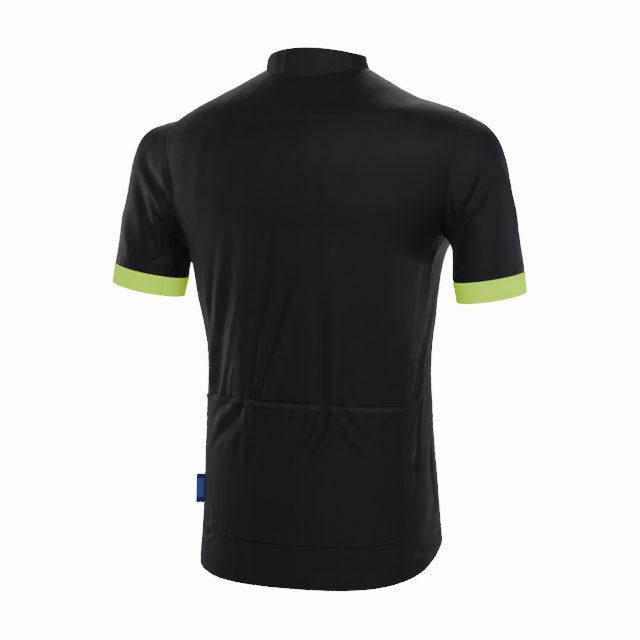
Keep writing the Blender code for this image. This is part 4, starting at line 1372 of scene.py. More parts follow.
# ------------------------ body panels
CLOTH_THICK = 0.0008
SEAM_AWAY = 0.0024                                      # a seam's stitches, from its edge
HEM_ROWS = (HEM_DEPTH - 0.0020, HEM_DEPTH - 0.0065)     # the hem's two rows of stitches
HEM_BLUR = 0.0012
HEM_PROUD, HEM_DENT, HEM_GROWTH = 0.0003, 0.00014, 0.9  # height, dent at stitches, added thickness
ZIP_STITCH = 0.0045                                     # the front edge's stitches
ZIP_FACING = (0.006, 0.008)                             # where the cloth doubled at that edge ends
BACK_COLUMNS, FRONT_COLUMNS, SIDE_COLUMNS = 132, 70, 44


def body_grid(angle: Array, level: Array, sign: int = 1) -> ClothGrid:
    """The creased body cloth over a grid of angles and levels."""
    return ClothGrid(BODY.frame_at(angle, level)[0], sign=sign)


def spread(first: Array, last: Array, shares: Array) -> Array:
    """Angles between a panel's two edges, one row for each level."""
    return first[:, None] * (1.0 - shares) + last[:, None] * shares


def turned_hem(grid: ClothGrid) -> Array:
    """Turns up a panel's hem and stitches it in.

    Args:
        grid: The panel.

    Returns:
        Its thickness at each point.
    """
    away = grid.distance(Edge.LOW)
    doubled = 1.0 - smooth_step(HEM_DEPTH - HEM_BLUR, HEM_DEPTH + HEM_BLUR, away)
    stitched = sum(bell(away, row, HEM_BLUR) for row in HEM_ROWS)
    grid.raise_by(HEM_PROUD * doubled - HEM_DENT * stitched)
    return CLOTH_THICK * (1.0 + HEM_GROWTH * doubled)


@dataclass
class BodyPanels:
    """The back, front and side panels."""

    looks: dict[str, Look]
    stitches: list[SeamLine]
    hem_stitches: list[SeamLine]

    def back(self) -> None:
        """The back panel, up to the neck."""
        shares = edge_spaced(BACK_COLUMNS, BACK_WIDTH)
        angle = spread(BODY.edge_offsets("back", 1), 180.0 - BODY.edge_offsets("back", -1), shares)
        grid = body_grid(angle, np.repeat(LEVELS[:, None], len(shares), axis=1))
        grid.sew((Edge.FIRST, Edge.LAST, Edge.HIGH))
        self.finish(grid, "back_panel_cloth", "black_knit", "back_panel", (0.455, 0.730), 0.262)
        for edge in (Edge.FIRST, Edge.LAST):
            self.stitches.append(grid.line(edge, SEAM_AWAY, 0, POCKET_ROW))
            self.stitches.append(grid.line(edge, SEAM_AWAY, BINDING_ROW + BINDING_ROWS))
        self.stitches.append(grid.line(Edge.HIGH, SEAM_AWAY))

    def front(self, side: int) -> None:
        """One front panel, from the side seam to the zip.

        Args:
            side: 1 for the wearer's left, -1 for the right.
        """
        half_width = smooth_rows(BODY_RINGS, LEVELS)[3]
        zip_edge = -90.0 + np.degrees(np.arcsin(ZIP_OPENING / 2 / half_width))
        shares = edge_spaced(FRONT_COLUMNS, FRONT_WIDTH)
        angle = spread(-BODY.edge_offsets("front", side), zip_edge, shares)
        grid = body_grid(side_angle(side, angle), np.repeat(LEVELS[:, None], len(shares), axis=1), -side)
        grid.sew((Edge.FIRST, Edge.HIGH))
        away = grid.distance(Edge.LAST)
        facing = 1.0 - smooth_step(*ZIP_FACING, away)
        grid.raise_by(0.0004 * facing - 0.0003 * bell(away, ZIP_STITCH, 0.0012))
        node = f"front_panel_{SIDE_NAMES[side]}"
        self.finish(grid, f"{node}_cloth", "black_knit", node, (0.235, 0.640), 0.117)
        self.stitches += [grid.line(Edge.FIRST, SEAM_AWAY), grid.line(Edge.LAST, ZIP_STITCH),
                          grid.line(Edge.HIGH, SEAM_AWAY)]

    def side(self, side: int) -> None:
        """One side panel, from the hem to the underside of the armhole.

        Args:
            side: 1 for the wearer's left, -1 for the right.
        """
        levels = LEVELS[:JOIN_ROW + 1]
        back, front = (BODY.edge_offsets(column, side)[:JOIN_ROW + 1] for column in ("back", "front"))
        offset = spread(back, -front, edge_spaced(SIDE_COLUMNS, SIDE_WIDTH))
        top = offset[-1]
        turn = np.arcsin(np.clip(top / BODY.armhole_reach(side, top >= 0.0), -1.0, 1.0))
        dip = levels[-1] - BODY.armhole_level(turn)
        share = smooth_step(levels[-1] - SIDE_TOP, levels[-1], levels)
        grid = body_grid(side_angle(side, offset), levels[:, None] - share[:, None] * dip, -side)
        grid.sew((Edge.FIRST, Edge.LAST, Edge.HIGH))
        node = f"side_panel_{SIDE_NAMES[side]}"
        self.finish(grid, f"{node}_cloth", "side_mesh", node, (0.150, 0.450), 0.050)
        self.stitches += [grid.line(Edge.FIRST, SEAM_AWAY), grid.line(Edge.LAST, SEAM_AWAY)]

    def finish(self, grid: ClothGrid, name: str, look: str, node: str, flat: tuple[float, float],
               area: float) -> None:
        """Args:
            grid: The panel.
            name: The piece's name.
            look: Its finish.
            node: The node that it replaces.
            flat: The cut panel's width and length; not used.
            area: Its area; not used.
        """
        thick = turned_hem(grid)
        piece = grid.shell(name, thick, self.looks[look], Edge.LOW)
        slot = "grey_side_mesh" if look == "side_mesh" else "black_knit"
        dress(piece, slot, node)
        self.hem_stitches += [grid.line(Edge.LOW, row) for row in HEM_ROWS]


# ------------------------ pocket and label
POCKET_STITCH, BINDING_STITCH = 0.0028, 0.0021  # stitches, from the edge of each
TACK_WIDTH = 0.0019                             # breadth of the dent along a sewn line
GATHER_HEIGHT, GATHER_PLACE = 0.00035, 0.010    # gathers above the pocket's lower seam


@dataclass
class RearPocket:
    """The pocket panel, its binding and the side label.

    gap: space behind them. sag: how far each mouth stands off. tack: how far the
    cloth rises between its sewn lines. dividers: the sewn lines between the three
    compartments, as shares of the width. label_low, label_height: the label's lowest
    level and its height. label_turn: the way it points, in degrees.
    """

    looks: dict[str, Look]
    gap: float = 0.0003
    cloth: float = 0.0011
    sag: float = 0.0022
    tack: float = 0.00015
    dividers: tuple[float, ...] = (0.30, 0.68)
    binding_thick: float = 0.0018
    label_low: float = 0.075
    label_height: float = 0.035
    label_reach: float = 0.0122
    label_thick: float = 0.0010
    label_turn: float = 22.0

    def frame_rows(self, levels: Array) -> tuple[Array, Array, Array]:
        """The back under the pocket.

        Args:
            levels: The pocket's rows.

        Returns:
            Points and normals of the back there, and the columns' shares.
        """
        shares = edge_spaced(BACK_COLUMNS, BACK_WIDTH)
        left, right = (np.interp(levels, LEVELS, BODY.edge_offsets("back", side)) for side in (1, -1))
        angle = spread(left, 180.0 - right, shares)
        points, normals = BODY.frame_at(angle, np.repeat(levels[:, None], len(shares), axis=1))
        return points, normals, shares

    def bag(self, shares: Array) -> Array:
        """How far the compartments stand off the back.

        Args:
            shares: Places across the pocket, from 0 to 1.

        Returns:
            The share of the full sag at each.
        """
        seams = (0.0, *self.dividers, 1.0)
        out = np.zeros_like(shares)
        for first, last in zip(seams[:-1], seams[1:]):
            inside = (shares >= first) & (shares <= last)
            out = np.where(inside, np.sin(math.pi * (shares - first) / (last - first)), out)
        return np.clip(out, 0.0, 1.0)

    def panel(self) -> list[SeamLine]:
        """Builds the pocket panel.

        Returns:
            Its seam lines.
        """
        levels = np.concatenate([POCKET_BOTTOM + np.array(EDGE_STEPS),
                                 np.linspace(POCKET_BOTTOM + EDGE_STEPS[-1], POCKET_TOP, POCKET_ROWS)[1:]])
        points, normals, shares = self.frame_rows(levels)
        flat = ClothGrid(points)
        run = flat.run(1)
        tacked = np.ones(run.shape)
        for share in (0.0, *self.dividers, 1.0):
            line = run[:, int(round(share * (len(shares) - 1)))][:, None]
            tacked *= 1.0 - bell(run, line, TACK_WIDTH)
        tacked *= 1.0 - bell(flat.distance(Edge.LOW), POCKET_STITCH, 0.0016)
        mouth = smooth_step(POCKET_BOTTOM, POCKET_TOP, levels)[:, None]
        rise = flat.distance(Edge.LOW) / GATHER_PLACE
        gathers = GATHER_HEIGHT * uneven_wave(run, 0.0135, 2.2, 0.083) * rise * np.exp(1.0 - rise)
        gathers *= 0.5 + 0.5 * np.sin(math.tau * run / 0.061)
        lift = self.gap + self.sag * self.bag(shares)[None, :] * mouth + self.tack * tacked + gathers
        grid = ClothGrid(points + normals * (lift + self.cloth)[..., None])
        piece = grid.shell("pocket_panel_cloth", self.cloth * 0.8, self.looks["black_knit"])
        dress(piece, "black_knit", "pocket_panel")
        sides = [grid.line(edge, SEAM_AWAY) for edge in (Edge.FIRST, Edge.LAST)]
        return [grid.line(Edge.LOW, POCKET_STITCH), *sides, *(grid.column(share) for share in self.dividers)]

    def binding(self) -> list[SeamLine]:
        """Builds the binding along the pocket's mouth.

        Returns:
            Its seam lines.
        """
        share_up = np.concatenate([np.linspace(0.0, 0.12, 4), np.linspace(0.12, 0.88, 7)[1:-1],
                                   np.linspace(0.88, 1.0, 4)])
        levels = POCKET_TOP + self.gap + share_up * (BINDING_TOP - POCKET_TOP - self.gap)
        points, normals, shares = self.frame_rows(levels)
        crown = np.sqrt(np.clip(1.0 - (2.0 * share_up - 1.0) ** 4, 0.0, 1.0))[:, None]
        sewn = bell(share_up, 0.24, 0.09) + bell(share_up, 0.76, 0.09)
        run = ClothGrid(points).run(1)
        ripple = 0.00016 * uneven_wave(run, 0.0105, 1.5, 0.052)
        lift = self.gap + self.sag * self.bag(shares)[None, :] + self.binding_thick - 0.0004
        lift = lift + 0.0007 * crown - 0.00012 * sewn[:, None] + ripple * crown
        grid = ClothGrid(points + normals * lift[..., None])
        piece = grid.shell("pocket_binding_band", self.binding_thick * 0.85, self.looks["binding_knit"])
        dress(piece, "black_knit", "pocket_binding")
        return [grid.line(edge, BINDING_STITCH) for edge in (Edge.LOW, Edge.HIGH)]

    def label(self) -> None:
        """The blank side label, a folded ribbon in the left back seam."""
        levels = np.linspace(self.label_low, self.label_low + self.label_height, 30)
        angle = np.interp(levels, LEVELS, BODY.edge_offsets("back", 1))
        root, normals = BODY.frame_at(angle, levels)
        root = root + normals * self.gap
        turn = math.radians(self.label_turn)
        out = np.array((math.cos(turn), math.sin(turn), 0.0))
        face = np.array((-math.sin(turn), math.cos(turn), 0.0))
        rows = []
        for share in np.linspace(0.0, 1.0, 12):
            curl = 0.0008 * share**2 * np.sin(math.pi * np.linspace(0.1, 0.9, len(levels)))
            rows.append(root + out * self.label_reach * 0.96 * share
                        + face * (self.label_thick + curl)[:, None])
        piece = ClothGrid(np.array(rows)).shell("side_label_ribbon", self.label_thick,
                                                self.looks["label_ribbon"], Edge.HIGH)
        dress(piece, "blue_ribbon", "side_label")


# ------------------------ sleeves and cuffs
CUFF_HEIGHT = 0.027
CUFF_FLARE = 1.02               # how much wider than its lower edge the cuff's seam is
HANDLE, TOP_END_HANDLE = 0.33, 0.79     # reach of a sleeve curve's handles, in its lengths
SLEEVE_LENGTH = 0.22
SLEEVE_TURNS = np.linspace(-math.pi, math.pi, 168, endpoint=False)
SLEEVE_ROWS, CUFF_ROWS, CURVE_SAMPLES = 66, 12, 81
TURN_STEP = 0.01                # small step round the armhole, for its direction
CUFF_PROUD = 0.0003             # how far the cuff stands out of the sleeve
CUFF_STITCH, CUFF_THICK = 0.0062, 0.0016
SLEEVE_SEAM = SewnEdge(pucker=0.00036)
SLEEVE_FADE = 0.12              # share of a sleeve's length over which creases die away at its seams


@dataclass(frozen=True)
class SleeveForm:
    """One sleeve, its lean and its cuff.

    cuff_x, cuff_y, cuff_z: middle of the cuff's lower edge. abduct, forward: lean of
    the arm, in degrees. across, deep: the cuff's half widths. cap: how far the top
    runs on outwards. lift: how much flatter than the shoulder it starts. under:
    degrees from straight down at which the underarm leaves. dart: degrees round the
    cuff at which a short dart is sewn, if it has one.
    """

    name: str
    side: int
    cuff_x: float
    cuff_y: float
    cuff_z: float
    abduct: float
    forward: float
    across: float
    deep: float
    cap: float
    lift: float
    under: float
    dart: float | None = None

    def axes(self) -> tuple[Array, Array, Array]:
        """The arm's directions.

        Returns:
            Those along the arm, away from the body and to the back.
        """
        lean, forward = math.radians(self.abduct), math.radians(self.forward)
        along = unit(np.array((self.side * math.sin(lean), -math.sin(forward), -math.cos(lean))))
        back = np.array((0.0, 1.0, 0.0))
        back = unit(back - along * (back @ along))
        return along, np.cross(along, back) * self.side, back

    def ring(self, turn: Array, height: Array | float, growth: float = 0.0) -> Array:
        """A ring round the arm.

        Args:
            turn: Places round it.
            height: Height above the cuff's lower edge.
            growth: How much wider than the cuff it is on each side.

        Returns:
            Its points.
        """
        along, out, back = self.axes()
        middle = np.array((self.side * self.cuff_x, self.cuff_y, self.cuff_z))
        up, turned = np.asarray(height)[..., None], np.asarray(turn)[..., None]
        flare = 1.0 + (CUFF_FLARE - 1.0) * up / CUFF_HEIGHT
        across, deep = self.across * flare + growth, self.deep * flare + growth
        return middle - along * up - out * across * np.cos(turned) + back * deep * np.sin(turned)

    def start(self, turn: Array) -> tuple[Array, Array]:
        """The armhole.

        Args:
            turn: Places round it.

        Returns:
            Its points, and the directions in which the cloth leaves them.
        """
        points, normals = BODY.armhole(self.side, turn)
        ahead, behind = (BODY.armhole(self.side, turn + step)[0] for step in (TURN_STEP, -TURN_STEP))
        edge = unit(ahead - behind)
        leaving = np.cross(normals, edge) * self.side
        lean = math.radians(self.under)
        under = np.array((self.side * math.sin(lean), 0.0, -math.cos(lean)))
        top = ((1.0 - np.cos(turn)) / 2)[..., None]
        share = smooth_step(0.15, 0.85, top)
        lift = np.array((0.0, 0.0, self.lift)) * smooth_step(0.6, 1.0, top)
        return points, unit(leaving * share + under * (1.0 - share) + lift)

    def surface(self, turns: Array, shares: Array) -> Array:
        """The sleeve's surface.

        Args:
            turns: Places round it.
            shares: Places along it, from 0 at the armhole to 1 at the cuff seam.

        Returns:
            Its points.
        """
        start, leaving = self.start(turns)
        end = self.ring(turns, CUFF_HEIGHT)
        length = np.linalg.norm(end - start, axis=-1, keepdims=True)
        top = ((1.0 - np.cos(turns)) / 2)[..., None]
        first = start + leaving * length * (HANDLE * (1.0 - top) + self.cap * top)
        second = end - self.axes()[0] * length * (HANDLE * (1.0 - top) + TOP_END_HANDLE * top)
        samples = np.linspace(0.0, 1.0, CURVE_SAMPLES)[:, None, None]
        curve = (start * (1 - samples) ** 3 + first * 3 * samples * (1 - samples) ** 2
                 + second * 3 * samples**2 * (1 - samples) + end * samples**3)
        steps = np.linalg.norm(np.diff(curve, axis=0), axis=-1)
        run = np.concatenate([np.zeros((1, len(turns))), np.cumsum(steps, axis=0)])
        rows = [rows_at(shares, run[:, column] / run[-1, column], curve[:, column])
                for column in range(len(turns))]
        return np.array(rows).transpose(1, 0, 2)


SLEEVES = (
    SleeveForm("left", 1, 0.2505, 0.020, -0.2965, 13.0, 1.0, 0.0520, 0.0530, 0.36, 0.40, 60.0, dart=40.0),
    SleeveForm("right", -1, 0.2520, 0.020, -0.3010, 6.5, 6.0, 0.0450, 0.0580, 0.26, 0.12, 60.0),
)


@dataclass
class Sleeves:
    """The sleeves and their cuffs."""

    looks: dict[str, Look]
    stitches: list[SeamLine]
    cuff_stitches: list[SeamLine]

    def sleeve(self, form: SleeveForm) -> None:
        """One sleeve, a tube from the armhole to the cuff seam.

        Args:
            form: Its form.
        """
        shares = edge_spaced(SLEEVE_ROWS, SLEEVE_LENGTH)
        grid = ClothGrid(form.surface(SLEEVE_TURNS, shares), True, form.side)
        normals = grid.normals()
        fade = smooth_step(0.0, SLEEVE_FADE, shares) * smooth_step(0.0, SLEEVE_FADE, 1.0 - shares)
        rise = sum(crease.relief(grid.points, normals) for crease in SLEEVE_CREASES)
        rise = rise + sum(wave.relief(grid.points) for wave in SLEEVE_WAVES)
        grid.points = grid.points + normals * (rise * fade[:, None])[..., None]
        grid.sew((Edge.LOW, Edge.HIGH), SLEEVE_SEAM)
        piece = grid.shell(f"sleeve_{form.name}_cloth", CLOTH_THICK, self.looks["black_knit"])
        dress(piece, "black_knit", f"sleeve_{form.name}")
        self.stitches += [grid.line(Edge.LOW, SEAM_AWAY), grid.line(Edge.HIGH, SEAM_AWAY)]

    def cuff(self, form: SleeveForm) -> None:
        """The cuff band, folded over at its lower edge.

        Args:
            form: The sleeve's form.
        """
        turn, height = np.meshgrid(SLEEVE_TURNS, CUFF_HEIGHT * (1.0 - edge_spaced(CUFF_ROWS, CUFF_HEIGHT)))
        grid = ClothGrid(form.ring(turn, height, CUFF_PROUD), True, form.side)
        away = grid.distance(Edge.LOW)
        wave = uneven_wave(grid.run(1), 0.0125, 1.6, 0.071)
        rise = 0.0003 * wave * np.exp(-away / 0.008) * smooth_step(0.0, 0.003, away)
        rise += 0.0005 * bell(away, 0.0034, 0.0015) - 0.0009 * bell(away, 0.0, 0.0011)
        rise += 0.5 * sum(each.relief(grid.points) for each in SLEEVE_WAVES)
        if form.dart is not None:
            bend = np.degrees(turn) - form.dart
            rise += -0.0016 * bell(bend, 0.0, 2.4) + 0.0008 * bell(bend, 5.0, 3.0)
        grid.raise_by(rise)
        piece = grid.shell(f"cuff_{form.name}_band", CUFF_THICK, self.looks["fluorescent_knit"], Edge.HIGH)
        dress(piece, "fluorescent_knit", f"cuff_{form.name}")
        self.cuff_stitches.append(grid.line(Edge.LOW, CUFF_STITCH))


# ------------------------ collar and zip
COLLAR = RingForm(COLLAR_RINGS)
COLLAR_ROUND, COLLAR_HEIGHT = 0.40, 0.040
COLLAR_COLUMNS, COLLAR_ROWS = 200, 12
COLLAR_FOOT = ((0.0009, 0.0042), (0.0006, 0.0020), (0.0003, 0.0008))    # turned in: depth and drop
COLLAR_STITCH = 0.0030
ZIP_TOP = 0.6995                # the body's level at which the zip runs on into the collar
COIL_SINK = 0.0009              # depth of the coil below the cloth's face
COIL_ASIDE = 0.00115            # middle of each row of teeth, from the middle of the zip
ORIGIN = (0.0, 0.0, 0.0)


@dataclass
class NeckAndZip:
    """The collar, the zip's tapes and coil, its slider and its pull tab.

    tooth, plate, arch and tab are sizes: across, along and out from the zip.
    slider_height is the slider's place up the collar, as a share. hinge is the
    height of the tab's axis over the cloth.
    """

    looks: dict[str, Look]
    collar_thick: float = 0.0018
    tape_thick: float = 0.0006
    tape_gap: float = 0.0006
    tape_half: float = 0.0130
    tooth_pitch: float = 0.00130
    tooth: Triple = (0.0036, 0.0009, 0.0012)
    slider_height: float = 0.80
    plate: Triple = (0.0074, 0.0110, 0.0020)
    arch: Triple = (0.0020, 0.0070, 0.0033)
    tab: Triple = (0.0060, 0.0245, 0.0010)
    hinge: float = 0.0031

    def collar(self) -> list[SeamLine]:
        """Builds the stand collar.

        Returns:
            Its seam lines.
        """
        opening = math.degrees(math.asin(ZIP_OPENING / 2 / COLLAR_RINGS[0].half_width))
        shares = edge_spaced(COLLAR_COLUMNS, COLLAR_ROUND)
        angles = -90.0 + opening + shares * (360.0 - 2.0 * opening)
        angle, height = np.meshgrid(angles, edge_spaced(COLLAR_ROWS, COLLAR_HEIGHT))
        points = COLLAR.point(angle, height)
        normals = COLLAR.normal(angle, height, SHARE_STEP)
        rows = smooth_step(0.0, 0.25, height) * smooth_step(0.0, 0.2, 1.0 - height)
        turn = np.radians(angle)
        ripple = np.sin(turn * 17.0 + 1.7 * np.sin(turn * 5.0)) * 0.00035 * rows
        sag = 0.0009 * np.sin(turn * 3.0 + 0.8) * height * rows
        grid = ClothGrid(points + normals * (ripple + sag)[..., None])
        grid.sew((Edge.LOW,))
        lines = [grid.line(Edge.LOW, SEAM_AWAY), grid.line(Edge.HIGH, COLLAR_STITCH)]
        inward = grid.normals()[0] * np.array((-1.0, -1.0, 0.0))
        turned_in = [grid.points[0] + inward * depth - np.array((0.0, 0.0, drop))
                     for depth, drop in COLLAR_FOOT]
        grid = ClothGrid(np.concatenate([turned_in, grid.points]))
        piece = grid.shell("collar_band", self.collar_thick, self.looks["collar_knit"], Edge.HIGH)
        dress(piece, "black_knit", "collar")
        return lines

    def zip_line(self, x: Array, body_rows: Array, collar_rows: Array, sink: tuple[float, float]) -> Array:
        """Points along the zip.

        Args:
            x: Places across it.
            body_rows: Levels on the body.
            collar_rows: Levels on the collar.
            sink: Depths below the body's and the collar's face.

        Returns:
            The points.
        """
        parts = []
        for form, rows, rings, depth in ((BODY.form, body_rows, BODY_RINGS, sink[0]),
                                         (COLLAR, collar_rows, COLLAR_RINGS, sink[1])):
            across, up = np.meshgrid(x, rows)
            angle = 270.0 + np.degrees(np.arcsin(across / smooth_rows(rings, up)[3]))
            if form is COLLAR:
                points, normals = form.point(angle, up), form.normal(angle, up, SHARE_STEP)
            else:
                points, normals = BODY.frame_at(angle, up)
            parts.append(points - normals * depth)
        return np.concatenate(parts)

    def tapes(self) -> None:
        """The two tapes of the zip, behind the front edges."""
        for name, low, high in (("right", -self.tape_half, -0.0006), ("left", 0.0006, self.tape_half)):
            points = self.zip_line(np.linspace(low, high, 13), np.linspace(0.0, ZIP_TOP, 170),
                                   np.linspace(0.02, 0.97, 14),
                                   (0.0012 + self.tape_gap, 0.0020 + self.tape_gap))
            piece = ClothGrid(points).shell(f"zip_tape_{name}", self.tape_thick, self.looks["zip_tape"])
            dress(piece, "black_nylon", "zip")

    def coil(self) -> None:
        """The two rows of coil teeth, which mesh in the middle."""
        middle = self.zip_line(np.array((0.0,)), np.linspace(0.002, ZIP_TOP, 400),
                               np.linspace(0.02, 0.95, 40), (COIL_SINK, COIL_SINK))[:, 0]
        run = run_along(middle)
        for side, name in SIDE_NAMES.items():
            spots = np.arange(self.tooth_pitch * (0.5 if side > 0 else 1.0), run[-1], self.tooth_pitch)
            at = rows_at(spots, run, middle)
            up = unit(np.gradient(at, axis=0))
            across = np.tile(np.array((1.0, 0.0, 0.0)), (len(at), 1))
            axes = np.stack([across, up, np.cross(across, up)], axis=1)
            piece = copies(f"zip_coil_{name}", grain(*self.tooth), at + across * side * COIL_ASIDE, axes,
                           self.looks["coil_nylon"])
            dress(piece, "black_nylon")

    def slider_frame(self) -> Matrix:
        """Place of the slider on the collar.

        Returns:
            Its axes, across the zip, up along it and out from it, and its middle.
        """
        angle, height = np.array(270.0), np.array(self.slider_height)
        middle, above, below = (Vector(COLLAR.point(angle, height + step))
                                for step in (0.0, SHARE_STEP, -SHARE_STEP))
        up = (above - below).normalized()
        across = Vector((1.0, 0.0, 0.0))
        place = Matrix((across, up, across.cross(up))).transposed().to_4x4()
        place.translation = middle
        return place

    def slider(self) -> None:
        """The zip slider: a shield-shaped plate with an arch on it."""
        plate = start_block(self.plate, (0.0, 0.0, 0.0010))
        edit(plate, lambda face: True)
        bpy.ops.mesh.subdivide(number_cuts=3)
        for low, high, scale in ((-0.0060, -0.0050, 0.62), (-0.0045, -0.0020, 0.84), (0.0050, 0.0060, 0.88)):
            edit_points(plate, lambda point: low < point.y < high)
            bpy.ops.transform.resize(value=(scale, 1.0, 1.0), center_override=ORIGIN)
        edit(plate, lambda face: face.normal.z > 0.9)
        bpy.ops.mesh.inset(thickness=0.0006, depth=0.0002)
        edit(plate, lambda face: abs(face.normal.x) > 0.8)
        bpy.ops.mesh.inset(thickness=0.0004, depth=-0.0003)
        leave_edit()
        arch = start_block(self.arch, (0.0, 0.0, 0.00335))
        edit(arch, lambda face: abs(face.normal.x) > 0.9)
        bpy.ops.mesh.inset(thickness=0.0008)
        bpy.ops.mesh.bridge_edge_loops()
        leave_edit()
        rounded(plate, 0.00035)
        rounded(arch, 0.00030)
        bpy.ops.object.select_all(action="DESELECT")
        arch.select_set(True)
        plate.select_set(True)
        bpy.context.view_layer.objects.active = plate
        bpy.ops.object.join()
        self.place(plate, "zip_slider_metal", Matrix.Identity(4))
        dress(plate, "dark_metal", "zip_slider")

    def pull(self) -> None:
        """The pull tab, with an eye round the arch and a hollowed grip."""
        eye_end, eye_middle, eye_area = -0.0051, -0.0023, 0.000018

        def at_eye(face: bpy.types.MeshPolygon) -> bool:
            """Whether a face is on one of the flat sides, at the eye."""
            return abs(face.normal.z) > 0.9 and face.center.y > eye_end

        tab = start_block(self.tab, (0.0, -0.01175, 0.0))
        edit(tab, lambda face: True)
        bpy.ops.mesh.bisect(plane_co=(0.0, eye_end, 0.0), plane_no=(0.0, 1.0, 0.0))
        edit(tab, at_eye)
        bpy.ops.mesh.inset(thickness=0.0010)
        edit(tab, lambda face: at_eye(face) and face.area < eye_area and abs(face.center.x) < 1e-5
             and abs(face.center.y - eye_middle) < 0.0003)
        bpy.ops.mesh.bridge_edge_loops()
        edit(tab, lambda face: abs(face.normal.z) > 0.9 and face.center.y < -0.0055)
        bpy.ops.mesh.inset(thickness=0.0009, depth=-0.00022)
        bpy.ops.mesh.inset(thickness=0.0009, depth=0.00016)
        edit_points(tab, lambda point: point.y < -0.0200)
        bpy.ops.transform.resize(value=(0.86, 1.0, 1.0), center_override=ORIGIN)
        leave_edit()
        rounded(tab, 0.00022)
        self.place(tab, "zip_pull_tab", Matrix.Translation((0.0, 0.0, self.hinge)))
        dress(tab, "dark_metal", "zip_pull", body="zip_pull")

    def place(self, piece: Piece, name: str, local: Matrix) -> None:
        """Moves a finished piece's mesh to its place on the zip and gives it its finish.

        Args:
            piece: The piece.
            name: Its name.
            local: Its place on the slider.
        """
        piece.name = piece.data.name = name
        piece.data.transform(self.slider_frame() @ local)
        piece.data.materials.clear()
        piece.data.materials.append(self.looks["slider_lacquer"])


def start_block(size: Triple, centre: Triple) -> Piece:
    """A block to shape in edit mode.

    Args:
        size: Its size.
        centre: Its middle.

    Returns:
        The block.
    """
    bpy.ops.object.select_all(action="DESELECT")
    bpy.ops.mesh.primitive_cube_add(size=1.0, location=centre, scale=size)
    bpy.ops.object.transform_apply(location=True, rotation=False, scale=True)
    return bpy.context.object


def leave_edit() -> None:
    """Back to object mode, if not there already."""
    if bpy.context.object and bpy.context.object.mode == "EDIT":
        bpy.ops.object.mode_set(mode="OBJECT")


def clear_choice(piece: Piece) -> None:
    """Makes a piece active in object mode, with nothing chosen on its mesh.

    Args:
        piece: The piece.
    """
    leave_edit()
    bpy.ops.object.select_all(action="DESELECT")
    piece.select_set(True)
    bpy.context.view_layer.objects.active = piece
    for part in (piece.data.polygons, piece.data.edges, piece.data.vertices):
        part.foreach_set("select", [False] * len(part))


def edit(piece: Piece, test: Callable[[bpy.types.MeshPolygon], bool]) -> None:
    """Enters edit mode with some faces chosen.

    Args:
        piece: The piece.
        test: Whether a face is chosen.
    """
    clear_choice(piece)
    bpy.context.tool_settings.mesh_select_mode = (False, False, True)
    for face in piece.data.polygons:
        face.select = test(face)
    bpy.ops.object.mode_set(mode="EDIT")


def edit_points(piece: Piece, test: Callable[[Vector], bool]) -> None:
    """Enters edit mode with some points chosen.

    Args:
        piece: The piece.
        test: Whether a point is chosen, from its place.
    """
    clear_choice(piece)
    bpy.context.tool_settings.mesh_select_mode = (True, False, False)
    for point in piece.data.vertices:
        point.select = test(point.co)
    bpy.ops.object.mode_set(mode="EDIT")


def rounded(piece: Piece, width: float) -> None:
    """Rounds a piece's edges and shades it smooth.

    Args:
        piece: The piece.
        width: Breadth of the rounding.
    """
    clear_choice(piece)
    bevel = piece.modifiers.new("edges", "BEVEL")
    bevel.width = width
    bevel.segments = 2
    bevel.limit_method = "ANGLE"
    bevel.angle_limit = math.radians(35.0)
    bpy.ops.object.modifier_apply(modifier=bevel.name)
    bpy.ops.object.shade_smooth_by_angle(angle=math.radians(40.0))


# ------------------------ stage
LIGHT_BAND = (-0.40, -0.02)     # slopes of a ray, from low to high, over which the surround's light changes


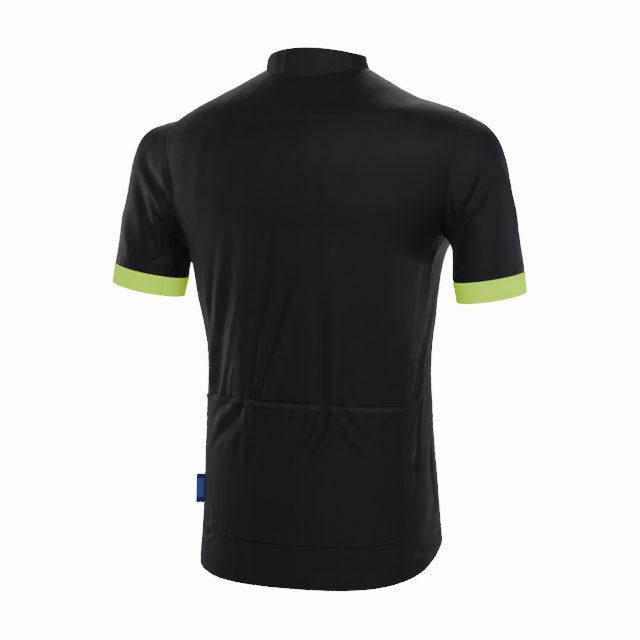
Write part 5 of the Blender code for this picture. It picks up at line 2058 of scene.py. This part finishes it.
@dataclass
class Studio:
    """Floor, light and camera.

    turn: how far round from the middle of the back the camera stands, in radians.
    distance, height: its place from the jersey's origin. shift: its step aside.
    pitch: how far it looks down. lens: its focal length in millimetres.
    """

    turn: float = math.radians(22.0)
    distance: float = 2.2
    height: float = -0.208
    shift: float = 0.00274
    pitch: float = math.radians(3.385)
    lens: float = 90.3
    floor_z: float = -1.45
    floor_colour: Triple = (0.64, 0.64, 0.64)

    def directions(self) -> tuple[Vector, Vector]:
        """Level directions to the camera's right and ahead of it."""
        sine, cosine = math.sin(self.turn), math.cos(self.turn)
        return Vector((-cosine, -sine, 0.0)), Vector((sine, -cosine, 0.0))

    def camera(self) -> None:
        """The camera, behind the jersey and a little to its right side."""
        data = bpy.data.cameras.new("camera")
        data.lens = self.lens
        data.sensor_width = 36.0
        made = add_object("camera", data)
        right, ahead = self.directions()
        made.location = right * self.shift - ahead * self.distance + Vector((0.0, 0.0, self.height))
        looking = ahead * math.cos(self.pitch) - Vector((0.0, 0.0, math.sin(self.pitch)))
        made.rotation_euler = looking.to_track_quat("-Z", "Y").to_euler()
        bpy.context.scene.camera = made

    def floor(self) -> None:
        """A plain pale floor, well below the hem."""
        bpy.ops.object.select_all(action="DESELECT")
        bpy.ops.mesh.primitive_plane_add(size=3.4, location=(0.0, 0.0, self.floor_z))
        bpy.ops.object.transform_apply(location=True, rotation=False, scale=True)
        floor = bpy.context.object
        floor.name = "studio_floor"
        material, _, shader = start_material("studio_floor", self.floor_colour)
        fill(shader, {"Base Color": opaque(self.floor_colour), "Roughness": 0.7})
        floor.data.materials.append(material)

    def panel(self, name: str, away: Triple, size: tuple[float, float], power: float,
              spread: float = 180.0, aim: Triple = (0.0, 0.0, -0.30)) -> None:
        """A soft light panel.

        Args:
            name: The light's name.
            away: Its place from the jersey's origin, to the camera's right, ahead
                and up.
            size: Its width and height.
            power: Its power in watts.
            spread: How wide it shines, in degrees.
            aim: The point that it shines at.
        """
        data = bpy.data.lights.new(name, "AREA")
        data.spread = math.radians(spread)
        data.shape = "RECTANGLE"
        data.size, data.size_y = size
        data.energy = power
        made = add_object(name, data)
        right, ahead = self.directions()
        made.location = right * away[0] + ahead * away[1] + Vector((0.0, 0.0, away[2]))
        made.rotation_euler = (Vector(aim) - made.location).to_track_quat("-Z", "Y").to_euler()

    def world(self, seen: float, below: float, above: float) -> None:
        """A white surround, which lights the jersey less than it shows.

        Args:
            seen: Its strength where it is seen.
            below: Its strength as light from below.
            above: Its strength as light from the sides and above.
        """
        world = bpy.data.worlds.new("studio")
        bpy.context.scene.world = world
        world.use_nodes = True
        graph = Graph(world.node_tree)
        up = graph.node("SeparateXYZ", {0: graph.node("TexCoord").outputs["Generated"]}).outputs[2]
        low, high = LIGHT_BAND
        lighting = graph.node("MapRange", {0: up, 1: low, 2: high, 3: below, 4: above}).outputs[0]
        to_camera = graph.node("LightPath").outputs["Is Camera Ray"]
        strength = graph.node("Mix", {0: to_camera, 2: lighting, 3: seen})
        shade = graph.tree.nodes["Background"]
        fill(shade, {"Color": WHITE})
        graph.link(strength.outputs[0], shade.inputs["Strength"])

    def build(self) -> None:
        """Sets up the whole studio."""
        self.camera()
        self.floor()
        self.world(seen=14.0, below=0.85, above=0.09)
        self.panel("right_strip", (0.85, 0.00, 0.00), (0.3, 0.3), 1.2)
        self.panel("side_glance", (0.75, 0.10, -0.80), (0.2, 0.2), 0.11, 17.0, (-0.19, 0.02, -0.225))
        self.panel("left_strip", (-1.10, 0.55, -0.10), (0.7, 0.7), 6.0)
        self.panel("camera_fill", (0.2, -2.2, 1.10), (1.6, 1.2), 67.0)
        self.panel("front_fill", (0.0, 2.0, 1.5), (1.6, 1.2), 40.0)


# ------------------------ the whole jersey
def main() -> None:
    """Builds and dresses every piece of the jersey."""
    logging.basicConfig(level=logging.INFO, format="%(name)s: %(message)s")
    looks = build_finishes()
    Studio().build()
    seams: list[SeamLine] = []
    hems: list[SeamLine] = []
    panels = BodyPanels(looks, seams, hems)
    panels.back()
    for side in (1, -1):
        panels.front(side)
        panels.side(side)
    sleeve_seams: list[SeamLine] = []
    cuff_seams: list[SeamLine] = []
    sleeves = Sleeves(looks, sleeve_seams, cuff_seams)
    for form in SLEEVES:
        sleeves.sleeve(form)
        sleeves.cuff(form)
    pocket = RearPocket(looks)
    pocket_seams = pocket.panel() + pocket.binding()
    pocket.label()
    neck = NeckAndZip(looks)
    sleeve_seams += neck.collar()
    neck.tapes()
    neck.coil()
    neck.slider()
    neck.pull()
    sewing = Sewing()
    for name, lines in (("panel", seams), ("hem", hems), ("sleeve_and_collar", sleeve_seams),
                        ("pocket", pocket_seams)):
        dress(sewing.sew(f"{name}_stitches", lines, looks["black_thread"]), "black_knit")
    dress(sewing.sew("cuff_stitches", cuff_seams, looks["lime_thread"]), "fluorescent_knit")


if __name__ == "__main__":
    main()
